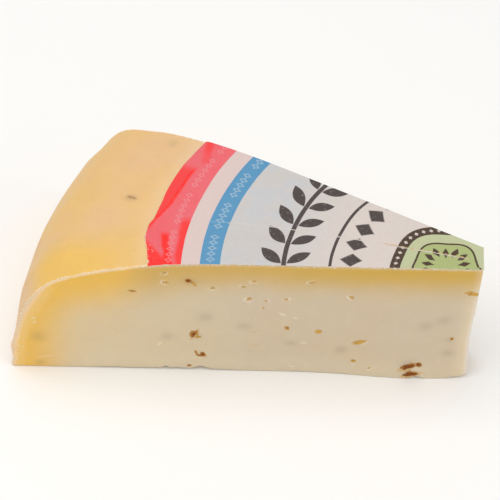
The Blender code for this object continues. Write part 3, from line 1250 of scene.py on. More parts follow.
@dataclass(frozen=True)
class HuskFinish(Finish):
    """A caraway seed: dark where a knife has shaved it, with a paler ribbed husk, or ochre all over."""

    name: str = "caraway_husk"
    grain: Grain = Grain(900.0, 3500.0, 0.9, 0.66, 0.12, relief=0.5, relief_depth=0.0003, gloss=0.15)
    dark: Colour = (132, 66, 18)
    ochre: Colour = (218, 172, 82)
    fringe: Colour = (182, 124, 60)
    rib: Colour = (188, 132, 68)
    # Painted shade: near black, for the shade in the husk's crevices.
    crevice_shade: Colour = (66, 32, 12)

    def tint(self, sheet: Canvas) -> NodeSocket:
        """Colours the husks.

        Args:
            sheet: The material's sheet.

        Returns:
            The colour.
        """
        colour = sheet.blend(sheet.layer("core"), self.fringe, self.dark)
        colour = sheet.blend(sheet.times(sheet.layer("rib"), 0.3), colour, self.rib)
        # Painted shade: dark specks for the crevices of the husk.
        crevice_shade_mask = sheet.grade(sheet.clouds(0.0007, 2.0, 0.5), 0.58, 0.72, 0.0, 0.7)
        colour = sheet.blend(crevice_shade_mask, colour, self.crevice_shade)
        return sheet.blend(sheet.times(sheet.layer("tone"), 0.97), colour, self.ochre)


@dataclass(frozen=True)
class CrumbFinish(Finish):
    """Loose crumbs and shavings of cheese along the cuts."""

    name: str = "crumb"
    grain: Grain = Grain(1200.0, 4000.0, 0.3, 0.62)
    glow: Glow = Glow(0.2, 0.001)
    # Partly painted highlight: the pale crumbs are made brighter so they read as specks catching the light.
    pale: Colour = (250, 236, 208)
    amber: Colour = (230, 172, 84)

    def tint(self, sheet: Canvas) -> NodeSocket:
        """Colours the crumbs from pale to amber."""
        return sheet.blend(sheet.layer("tone"), self.pale, self.amber)


@dataclass(frozen=True)
class FilmFinish(Finish):
    """The printed film: red, cream and blue rings, a pale field, and plain ornament in dark ink.

    Radii and the sizes of the ornament are in millimetres, and the sag's turns are per radian.
    """

    name: str = "printed_film"
    grain: Grain = Grain(500.0, 2600.0, 0.10, 0.34)
    red: Colour = (249, 36, 28)
    # Partly painted sheen: a paler red for where the film is lifted and where light reflects from it.
    red_haze_and_sheen: Colour = (234, 103, 110)
    gap: Colour = (218, 196, 190)
    blue: Colour = (86, 147, 187)
    field_near: Colour = (201, 196, 192)
    field_cool: Colour = (198, 197, 198)
    field_tip: Colour = (214, 202, 194)
    ink: Colour = (72, 61, 58)
    ink_tip: Colour = (72, 52, 34)
    green: Colour = (170, 180, 118)
    green_light: Colour = (190, 194, 152)
    red_mark: Colour = (232, 158, 162)
    blue_mark: Colour = (168, 190, 204)
    red_inner: float = 99.7
    gap_inner: float = 92.5
    blue_inner: float = 84.9
    green_outer: float = 17.2
    sag: float = 0.72
    sag_turns: float = 4.865
    swell: float = 0.006

    def tint(self, sheet: Canvas) -> NodeSocket:
        """Prints the film, and lets it swell a little.

        Args:
            sheet: The material's sheet.

        Returns:
            The colour.
        """
        radius, angle = sheet.group(sheet.effects.wheel_place, Place=sheet.spot)
        wobble = sheet.times(sheet.minus(sheet.clouds(0.02), 0.5), 0.7)
        sag = sheet.times(sheet.math("SINE", sheet.times(angle, self.sag_turns)), self.sag)
        polar = {"Radius": sheet.plus(radius, sheet.plus(wobble, sag)), "Angle": angle}
        colour = self.rows(sheet, polar, self.ground(sheet, polar["Radius"]))
        worn = sheet.grade(sheet.clouds(0.0012, 2.0), 0.25, 0.42, 0.75, 1.0)
        colour = sheet.blend(sheet.times(self.wreath(sheet, polar), worn), colour, self.ink)
        colour = sheet.blend(sheet.times(self.rosette(sheet, polar), worn), colour, self.ink_tip)
        sheet.dent(sheet.clouds(self.swell, 2.0), 0.3, 0.0008)
        return colour

    def ground(self, sheet: Canvas, radius: NodeSocket) -> NodeSocket:
        """Colours the rings and the field.

        Args:
            sheet: The material's sheet.
            radius: Radius in millimetres.

        Returns:
            The colour.
        """
        cool = sheet.grade(sheet.clouds(0.012, 2.0, 0.5), 0.45, 0.6)
        near = sheet.blend(cool, self.field_near, self.field_cool)
        colour = sheet.blend(sheet.grade(radius, 72.0, 38.0), near, self.field_tip)
        colour = sheet.blend(sheet.band(radius, self.blue_inner, self.gap_inner), colour, self.blue)
        colour = sheet.blend(sheet.band(radius, self.gap_inner, self.red_inner), colour, self.gap)
        # Partly painted sheen: the red turns paler with the haze mask.
        reds = sheet.blend(sheet.layer("haze_and_sheen"), self.red, self.red_haze_and_sheen)
        colour = sheet.blend(sheet.band(radius, self.red_inner, 200.0), colour, reds)
        greens = sheet.blend(sheet.grade(radius, 12.2, 12.8), self.green, self.green_light)
        return sheet.blend(sheet.band(radius, -10.0, self.green_outer), colour, greens)

    def rows(self, sheet: Canvas, polar: dict[str, NodeSocket], colour: NodeSocket) -> NodeSocket:
        """Prints pale lozenges and dots on the red and the blue ring.

        Args:
            sheet: The material's sheet.
            polar: Radius in millimetres and angle in radians.
            colour: The ground's colour.

        Returns:
            The colour with the rows.
        """
        rows = (
            (self.red_mark, 0.45, {"Ring": 104.7, "Half_Length": 1.15, "Half_Height": 1.6, "Run": 7.0}),
            (self.blue_mark, 0.7, {"Ring": 88.7, "Half_Length": 1.2, "Half_Height": 1.9, "Run": 6.0}),
        )
        for mark, strength, sizes in rows:
            shared = {**polar, "Pitch": 2.9, "Filled": 0.75}
            lozenges = sheet.chain(**shared, **sizes, Inner=0.5)
            sizes |= {"Half_Length": 0.28, "Half_Height": 0.4}
            both = sheet.larger(lozenges, sheet.chain(**shared, **sizes, Phase=0.5))
            colour = sheet.blend(sheet.times(both, strength), colour, mark)
        return colour

    def wreath(self, sheet: Canvas, polar: dict[str, NodeSocket]) -> NodeSocket:
        """The mask of the bold leaves, the line and the lozenges on the field.

        Args:
            sheet: The material's sheet.
            polar: Radius in millimetres and angle in radians.

        Returns:
            The mask.
        """
        sizes = {"Leaf_Offset": 5.2, "Leaf_Half_Length": 5.4, "Leaf_Half_Width": 2.3, "Stem": 0.9}
        leaves = sheet.group(sheet.effects.wreath, **polar, **sizes, Ring=61.0, Pitch=10.2, Phase=0.15)[0]
        studs = sheet.chain(**polar, Ring=36.0, Pitch=8.4, Half_Length=3.4, Half_Height=4.2, Phase=0.2)
        return sheet.larger(sheet.larger(leaves, studs), sheet.band(polar["Radius"], 43.0, 44.2))

    def rosette(self, sheet: Canvas, polar: dict[str, NodeSocket]) -> NodeSocket:
        """The mask of the beaded ring, the thin hoop and the petals on the tip's green field.

        Args:
            sheet: The material's sheet.
            polar: Radius in millimetres and angle in radians.

        Returns:
            The mask.
        """
        beads = sheet.chain(**polar, Ring=19.2, Pitch=2.9, Half_Length=0.8, Half_Height=0.9)
        petals = sheet.chain(**polar, Ring=7.6, Pitch=3.4, Half_Length=1.3, Half_Height=2.6)
        ring = sheet.band(polar["Radius"], self.green_outer, 21.2)
        ring = sheet.minus(ring, sheet.times(beads, 0.9), clamp=True)
        return sheet.larger(sheet.larger(ring, sheet.band(polar["Radius"], 12.1, 12.9)), petals)


@dataclass(frozen=True)
class EdgeFinish(Finish):
    """The film's cut edge and underside: plain, with a slight grain."""

    name: str = "film_edge"
    grain: Grain = Grain(500.0, 2600.0, 0.2, 0.42)
    plain: Colour = (232, 218, 196)

    def tint(self, sheet: Canvas) -> Colour:
        """One colour all over."""
        return self.plain


@dataclass(frozen=True)
class ScoreFinish(Finish):
    """The scored line: pale, with the blue of the ring where it crosses that."""

    name: str = "scored_film"
    grain: Grain = Grain(500.0, 2600.0, 0.2, 0.42)
    pale: Colour = (212, 204, 197)
    blue: Colour = (128, 174, 202)
    film: FilmFinish = FilmFinish()

    def tint(self, sheet: Canvas) -> NodeSocket:
        """Colours the line by its place on the printed film.

        Args:
            sheet: The material's sheet.

        Returns:
            The colour.
        """
        radius = sheet.group(sheet.effects.wheel_place, Place=sheet.spot)[0]
        crossing = sheet.band(radius, self.film.blue_inner, self.film.gap_inner)
        return sheet.blend(crossing, self.pale, self.blue)


# Pieces


@dataclass
class CheeseBody:
    """The wedge's skin: a cap of quads on each side cut, loops round the wedge, and finer faces at marks."""

    form: WedgeForm
    marks: Marks
    along_cells: int = 280
    up_cells: int = 70
    across_cells: int = 50
    edge_reach: float = 1.3 * MM
    rim_edge_reach: float = 2.4 * MM
    lump_height: float = 0.35 * MM
    flare: float = 2.1 * MM
    flare_x: float = 0.064
    flare_half_length: float = 0.050
    flare_height: float = 0.030
    back_wave: float = 0.6 * MM
    back_wave_length: float = 0.080
    base_lift: float = 0.8 * MM
    base_lift_x: float = -0.024
    base_lift_half_length: float = 0.042
    base_lift_depth: float = 0.012
    corner_lift: float = 2.2 * MM
    corner_lift_length: float = 0.012
    burr: float = 1.1 * MM
    burr_height: float = 0.011
    base_burr: float = 0.9 * MM
    band_widths: Table = (
        (-80.0, 18.0), (-48.0, 17.6), (-37.0, 16.0), (-17.6, 12.4), (1.7, 11.0), (21.0, 12.4),
        (75.0, 13.2),
    )
    dry_widths: Table = (
        (0.0, 1.9), (18.0, 1.9), (30.0, 2.3), (38.0, 2.4), (46.0, 1.4), (52.0, 0.9),
    )
    tip_pull: Table = (
        (0.0, 0.5), (5.0, 0.8), (12.0, 1.2), (22.0, 1.5), (30.0, 1.3), (36.0, 0.7),
        (50.0, 0.4), (61.0, 0.2),
    )
    shoulder_pull: Table = (
        (1.5, -0.2), (3.0, -0.5), (4.3, -1.1), (5.6, -0.7), (7.5, 0.3), (11.5, 0.45),
        (15.5, 0.25), (19.7, 0.35), (25.1, 0.6), (27.2, 0.55), (30.0, 1.5),
    )
    chips: tuple[Triple, ...] = (
        (-50.5, 6.0, 0.5), (-30.7, 2.0, 1.2), (-17.2, 5.4, 1.5), (20.1, 2.6, 0.7), (66.3, 5.0, 1.3),
    )

    def __post_init__(self) -> None:
        """Sets how the cells are graded along, up and across the wedge."""
        self.along = graded(self.along_cells, 0.2)
        self.up = graded(self.up_cells, 0.25)
        self.angles = graded(self.across_cells, 0.85) * self.form.angle
        self.corner = self.form.corner_radius()

    def sides(self, angle: float) -> tuple[Array, Array, Array, Array]:
        """The outline of the section in one direction from the apex, as distances and heights.

        Args:
            angle: The direction.

        Returns:
            The base, the crown, the tip and the rim, each from the tip out or from the base up.
        """
        form = self.form
        far = form.reach_to(angle, form.wheel_radius)
        near = form.tip_reach(angle, 0.0)
        base = np.column_stack([near + (far - near) * self.along, np.zeros(len(self.along))])
        shoulder_reach = form.reach_to(angle, self.corner)
        reach = np.linspace(form.tip_reach(angle, form.half_height), shoulder_reach, 500)
        offset = form.place(angle, reach, np.zeros(500))
        crown = resample(np.column_stack([reach, form.crown(form.radius_of(offset))]), self.along)
        height = self.up * form.half_height
        tip = np.column_stack([form.tip_reach(angle, height), height])
        curve = form.shoulder(400)[::-1]
        curve = curve[curve[:, 0] >= self.corner]
        curve = np.vstack([curve, [self.corner, form.crown(np.array([self.corner]))[0]]])
        rim = resample(np.column_stack([form.reach_to(angle, curve[:, 0]), curve[:, 1]]), self.up)
        rim[-1] = crown[-1]
        return base, crown, tip, rim

    def cap(self, angle: float) -> Array:
        """A grid of points over the section in one direction, ruled between its four sides.

        Args:
            angle: The direction.

        Returns:
            The points, by cell along and cell up.
        """
        base, crown, tip, rim = self.sides(angle)
        along, up = self.along[:, None, None], self.up[None, :, None]
        upward = (1 - up) * base[:, None] + up * crown[:, None]
        outward = (1 - along) * tip[None] + along * rim[None]
        low = (1 - along) * base[0] + along * base[-1]
        high = (1 - along) * crown[0] + along * crown[-1]
        grid = upward + outward - (1 - up) * low - up * high
        return self.form.place(angle, grid[..., 0], grid[..., 1])

    def loop(self, angle: float) -> Array:
        """Goes once round the section in one direction: base, rim, crown and tip.

        Args:
            angle: The direction.

        Returns:
            The points.
        """
        base, crown, tip, rim = self.sides(angle)
        pairs = np.vstack([base[:-1], rim[:-1], crown[::-1][:-1], tip[::-1][:-1]])
        return self.form.place(angle, pairs[:, 0], pairs[:, 1])

    def skin(self) -> tuple[Array, Array, Array]:
        """Builds the closed skin with sharp edges.

        Returns:
            The vertices, the quads, and for each quad whether it is rind.
        """
        along, up = self.along_cells, self.up_cells
        grid = np.arange((along + 1) * (up + 1)).reshape(along + 1, up + 1)
        around = grid_rim(grid)
        layers = [self.cap(self.angles[0]).reshape(-1, 3)]
        layers += [self.loop(angle) for angle in self.angles[1:-1]]
        layers.append(self.cap(self.angles[-1]).reshape(-1, 3))
        starts = np.cumsum([0] + [len(layer) for layer in layers])
        rings = [around] + [start + np.arange(len(around)) for start in starts[1:-2]] + [starts[-2] + around]
        cells = grid_quads(grid)
        quads = [cells[:, ::-1], cells + starts[-2]]
        rind = [np.zeros(len(cells) * 2, bool)]
        position = np.arange(len(around))
        outer = (position >= along) & (position < 2 * along + up)
        for near, far in zip(rings, rings[1:]):
            quads.append(np.stack([near, np.roll(near, -1), np.roll(far, -1), far], axis=-1))
            rind.append(outer)
        return np.vstack(layers), np.vstack(quads), np.concatenate(rind)

    def softened(self, points: Array, quads: Array) -> Array:
        """Rounds the edges, more so where the rim meets the cuts.

        Args:
            points: The vertices.
            quads: Four vertex numbers for each face.

        Returns:
            The moved vertices.
        """
        gaps, radius = Gaps.measure(self.form, points), self.form.radius_of(points)
        reach = self.edge_reach + (self.rim_edge_reach - self.edge_reach) * ease(radius, 0.150, 0.162)
        covered = ease(radius, 0.128, 0.108) * ease(points[:, 2], 0.045, 0.055)
        reach *= (1 - 0.65 * covered) * (1 - 0.5 * ease(points[:, 2], 0.008, 0.002))
        return relaxed(points, quads, 0.5 * ease(gaps.edge() / reach, 1.0, 0.0), 7)

    def refined(self, sharp: Array, soft: Array, quads: Array, is_rind: Array) -> tuple[BMesh, Array]:
        """Splits the faces at the marks into finer ones.

        Args:
            sharp: The vertices before the edges were rounded.
            soft: The vertices with rounded edges.
            quads: Four vertex numbers for each face.
            is_rind: Whether each face is rind.

        Returns:
            The finer mesh with rounded edges, and its vertices' places before the edges were rounded.
        """
        bm = bmesh.new()
        layer = bm.verts.layers.float_vector.new("sharp")
        verts = [bm.verts.new(point) for point in soft.tolist()]
        for vert, place in zip(verts, sharp.tolist()):
            vert[layer] = place
        made = [bm.faces.new([verts[corner] for corner in quad]) for quad in quads.tolist()]
        for part, rind in zip(made, is_rind.tolist()):
            part.material_index = int(rind)
        centres = sharp[quads].mean(axis=1)
        gaps = Gaps.measure(self.form, centres)
        for face, cuts in ((Face.FRONT, 3), (Face.CROWN, 3), (Face.TIP, 1), (Face.BACK, 1), (Face.BASE, 1)):
            chart = Chart(self.form, face)
            near = np.flatnonzero(gaps.of(face) < 0.05 * MM)
            if face is Face.CROWN:
                near = near[centres[near, 2] > 0.045]
            margin = 4.0 if face is Face.CROWN else 0.9
            chosen = near[self.marks.covered(face, *chart.local(centres[near]), margin)]
            edges = list({edge for number in chosen.tolist() for edge in made[number].edges})
            bmesh.ops.subdivide_edges(bm, edges=edges, cuts=cuts, use_grid_fill=True)
        places = np.array([vert[layer][:] for vert in bm.verts])
        return bm, places

    def unevenness(self, points: Array, gaps: Gaps) -> Array:
        """How far the skin stands out of the plain form: lumps on the rind, faint waves on the cuts.

        Args:
            points: Points on the skin.
            gaps: Their distances to the surfaces.

        Returns:
            A distance for each point.
        """
        rind = ease(gaps.outer, 0.8 * MM, 0.0) * ease(self.form.radius_of(points), 0.111, 0.120)
        lumps = rough(points, 0.024, 1) + 0.35 * rough(points, 0.008, 2)
        waves = 0.3 * rough(points, 0.020, 3) + 0.12 * rough(points * (1, 1, 3), 0.006, 4)
        return self.lump_height * (rind * lumps + (1 - rind) * waves)

    def wander(self, points: Array, gaps: Gaps) -> Array:
        """Moves the skin where the knives strayed from their planes, and where the edges are ragged.

        Args:
            points: Points on the skin.
            gaps: Their distances to the surfaces.

        Returns:
            The moved points.
        """
        form, moved = self.form, points.copy()
        low = np.clip(1 - gaps.base / self.flare_height, 0, 1) ** 2
        flare = self.flare * bump(points[:, 0] - self.flare_x, self.flare_half_length) * low
        moved[:, 1] -= flare * np.clip(1 - gaps.front / 0.020, 0, 1) ** 2
        share = np.clip((form.tip_x - points[:, 0]) / (form.tip_x + 0.0635), 0, 1)
        wave = np.sin(np.pi * share) * np.clip(1 - gaps.base / form.half_height, 0, 1)
        wave *= np.sin(math.tau * (points[:, 0] + points[:, 2]) / self.back_wave_length)
        moved[:, 1] += self.back_wave * wave * np.clip(1 - gaps.back / 0.015, 0, 1)
        pull = looked_up(self.tip_pull, points[:, 2] / MM) * MM
        moved[:, 0] -= pull * np.clip(1 - gaps.tip / 0.020, 0, 1) ** 2
        edge = np.clip(1 - gaps.front / self.base_lift_depth, 0, 1) ** 2
        lift = self.base_lift * bump(points[:, 0] - self.base_lift_x, self.base_lift_half_length) * edge
        corner = np.clip(1 - np.maximum(gaps.tip, 0) / self.corner_lift_length, 0, 1) ** 2
        lift += self.corner_lift * corner
        chips = 0.4 * np.clip(rough(points, 0.005, 5), 0, 1)
        for middle, half_length, height in self.chips:
            chips += height * bump(points[:, 0] - middle * MM, half_length * MM)
        lift += MM * chips * ease(gaps.front, 3 * MM, 0.0)
        moved[:, 2] += lift * np.clip(1 - gaps.base / 0.012, 0, 1)
        burr = bump(points[:, 2] - self.burr_height, 0.009) * ease(gaps.front, 6 * MM, 0.0)
        burr *= ease(gaps.outer, 3 * MM, 0.0) * ease(points[:, 0], -0.06, -0.08)
        burr *= 1 + 0.5 * rough(points, 0.004, 10)
        foot = ease(gaps.base, 0.005, 0.0) * ease(gaps.outer, 5 * MM, 0.0) * ease(gaps.front, 9 * MM, 0.0)
        pull = looked_up(self.shoulder_pull, form.turn_of(points)) * MM
        pull *= ease(gaps.outer, 6 * MM, 0.0) * ease(points[:, 2], 0.015, 0.035)
        pull *= ease(form.radius_of(points), 0.125, 0.145)
        outward = points[:, :2] - form.wheel
        outward /= np.maximum(np.linalg.norm(outward, axis=1, keepdims=True), 1e-9)
        moved[:, :2] += outward * (self.burr * burr + self.base_burr * foot - pull)[:, None]
        moved[:, 2] = np.maximum(moved[:, 2], 0.0)
        return moved

    def settled(self, points: Array, out: Vector) -> Array:
        """Moves points on a face of the plain form, with its way out, to where the uneven skin is."""
        gaps = Gaps.measure(self.form, points)
        return self.wander(points + np.array(out) * self.unevenness(points, gaps)[:, None], gaps)

    def press(self, points: Array, gaps: Gaps) -> dict[str, Array]:
        """Works out what the marks do to the skin.

        Args:
            points: The vertices of the plain form.
            gaps: Their distances to the surfaces.

        Returns:
            How far each vertex moves outward under "height", and a mask for each colour effect.
        """
        found = {name: np.zeros(len(points)) for name in MASKS}
        for face in Face:
            near = gaps.of(face) < 0.3 * MM
            if face is Face.RIM:
                near &= points[:, 2] < 0.045
            if face is Face.CROWN:
                near &= points[:, 2] > 0.045
            chosen = np.flatnonzero(near)
            along, up = Chart(self.form, face).local(points[chosen])
            fray = 0.7 * rough(points[chosen], 0.9 * MM, 6) + 0.5 * rough(points[chosen], 0.35 * MM, 8)
            if face is Face.CROWN:
                fray = 0.5 * rough(points[chosen], 1.6 * MM, 6)
            for name, values in self.marks.effects(face, along, up, fray).items():
                found[name][chosen] += values
        return found

    def layers(self, points: Array, gaps: Gaps) -> dict[str, Array]:
        """Numbers that the materials read at each vertex, most of them in millimetres.

        Args:
            points: The vertices of the plain form.
            gaps: Their distances to the surfaces.

        Returns:
            The numbers by name.
        """
        radius = self.form.radius_of(points)
        tip = np.minimum(np.maximum(gaps.front, gaps.tip), np.maximum(gaps.back, gaps.tip))
        near_cut = ease(gaps.front, 0.029, 0.006) * ease(points[:, 2], 0.034, 0.050)
        near_cut *= 0.6 + 0.4 * ease(radius, 0.118, 0.135)
        # Painted shade: the shoulder is painted more golden and deeper, where it turns away from the light.
        shoulder = 0.35 * ease(radius, 0.130, 0.148) * ease(gaps.front, 0.014, 0.045)
        return {
            "rind_depth": gaps.outer / MM,
            "cut_gap": gaps.cuts() / MM,
            # golden: a real yellower rind near the cut, and painted shade on the shoulder
            "golden": np.maximum(near_cut, shoulder),
            "film_halo": ease(radius, 0.120, 0.1135),
            "tip_edge": tip / MM,
            "dry_width": looked_up(self.dry_widths, points[:, 2] / MM),
            "under_film": ease(radius, 0.128, 0.108),
            "band_width": looked_up(self.band_widths, points[:, 0] / MM),
            # painted light: how much lighter and warmer the cut is painted towards its left end
            "warmth": ease(points[:, 0], 0.010, -0.060),
        }

    def build(self, paste: Material, rind: Material) -> Object:
        """Makes the piece.

        Args:
            paste: The material of the cuts.
            rind: The material of the crown and rim.

        Returns:
            The object.
        """
        points, quads, is_rind = self.skin()
        bm, sharp = self.refined(points, self.softened(points, quads), quads, is_rind)
        bm.normal_update()
        soft = np.array([vert.co[:] for vert in bm.verts])
        normals = np.array([vert.normal[:] for vert in bm.verts])
        gaps = Gaps.measure(self.form, sharp)
        pressed = self.press(sharp, gaps)
        soft += normals * (self.unevenness(sharp, gaps) + pressed.pop("height"))[:, None]
        soft = self.wander(soft, gaps)
        for vert, place in zip(bm.verts, soft.tolist()):
            vert.co = place
        piece = bmesh_piece("cheese_body", bm, paste, rind)
        piece.data.attributes.remove(piece.data.attributes["sharp"])
        paint(piece, {**self.layers(sharp, gaps), **pressed})
        return piece


@dataclass
class SeedBatch:
    """The caraway seeds that the cuts have opened, each a ribbed husk set in its socket."""

    form: WedgeForm
    marks: Marks
    body: CheeseBody
    rings: int = 19
    spokes: int = 24
    ribs: int = 5
    rib_height: float = 0.10
    proud: float = 0.10
    chance: int = 5

    def husk(self, mark: Mark, rng: random.Random) -> tuple[Array, dict[str, Array]]:
        """One seed about its own middle, with Z out of the face.

        Args:
            mark: Where and how large the seed is.
            rng: The source of chance.

        Returns:
            The vertices, ring by ring with a point at each end, and their masks.
        """
        along = np.linspace(0.03, 0.97, self.rings)
        around = np.linspace(0, 2 * np.pi, self.spokes, endpoint=False)
        share, spin = np.meshgrid(along, around, indexing="ij")
        rib = np.cos(self.ribs * spin + rng.uniform(0, 6))
        radius = mark.width / 2 * np.sin(np.pi * share) ** 0.55 * (1 + self.rib_height * rib)
        bend = rng.uniform(-0.12, 0.12) * mark.length * (1 - (2 * share - 1) ** 2)
        x = (share - 0.5) * mark.length
        points = np.stack([x, radius * np.sin(spin) + bend, radius * np.cos(spin) * 0.9], axis=-1)
        ends = np.array([[-mark.length / 2, 0, 0], [mark.length / 2, 0, 0]])
        points = np.vstack([points.reshape(-1, 3), ends])
        shift = rng.random()
        wear = 0.7 * rough(points, 1.1, shift) + 0.8 * rough(points, 0.5, shift + 1)
        points *= (1 + 0.62 * wear)[:, None] ** (1, 1, 0.5)
        points[:, 2] -= 0.16 * mark.width
        shaved = self.proud + 0.16 * rough(points, 0.7, shift + 2)
        core = ease(points[:, 2] - shaved, 0.02, 0.22)
        points[:, 2] = np.minimum(points[:, 2], shaved)
        ribbed = np.concatenate([ease(rib, 0.3, 1.0).ravel(), [0, 0]])
        return points * MM, {"tone": np.clip(mark.tone + 0.25 * wear, 0, 1), "rib": ribbed, "core": core}

    def faces(self) -> list[list[int]]:
        """Joins the points of one husk.

        Returns:
            Its faces: quads between the rings, and a fan at each end.
        """
        ring = np.arange(self.rings * self.spokes).reshape(self.rings, self.spokes)
        closed = np.concatenate([ring, ring[:, :1]], axis=1)
        fans = []
        for spoke in range(self.spokes):
            fans.append([ring.size, *closed[0, spoke : spoke + 2].tolist()])
            fans.append([ring.size + 1, *closed[-1, spoke : spoke + 2].tolist()[::-1]])
        return grid_quads(closed).tolist() + fans

    def build(self, material: Material) -> Object:
        """Makes the piece from all the seeds.

        Args:
            material: The husk's material.

        Returns:
            The object.
        """
        rng = random.Random(self.chance)
        pattern, start = self.faces(), 0
        points: list[Array] = []
        faces: list[list[int]] = []
        masks: list[dict[str, Array]] = []
        for face in Face:
            chart = Chart(self.form, face)
            for mark in self.marks.on(face, MarkKind.SEED):
                local, found = self.husk(mark, rng)
                if face is Face.BASE:
                    local[:, 2] -= 0.25 * MM
                spot = chart.spot(mark.along * MM, mark.up * MM)
                centre = np.array([spot.translation])
                spot.translation = self.body.settled(centre, spot.col[2].to_3d())[0]
                turned = spot @ Matrix.Rotation(math.radians(mark.tilt), 4, "Z")
                placed = local @ np.array(turned.to_3x3()).T + np.array(turned.translation)
                placed[:, 2] = np.maximum(placed[:, 2], 0.02 * MM)
                points.append(placed)
                masks.append(found)
                faces += [[start + corner for corner in side] for side in pattern]
                start += len(local)
        piece = mesh_piece("caraway_seeds", np.vstack(points), faces, material)
        paint(piece, {name: np.concatenate([found[name] for found in masks]) for name in masks[0]})
        return piece


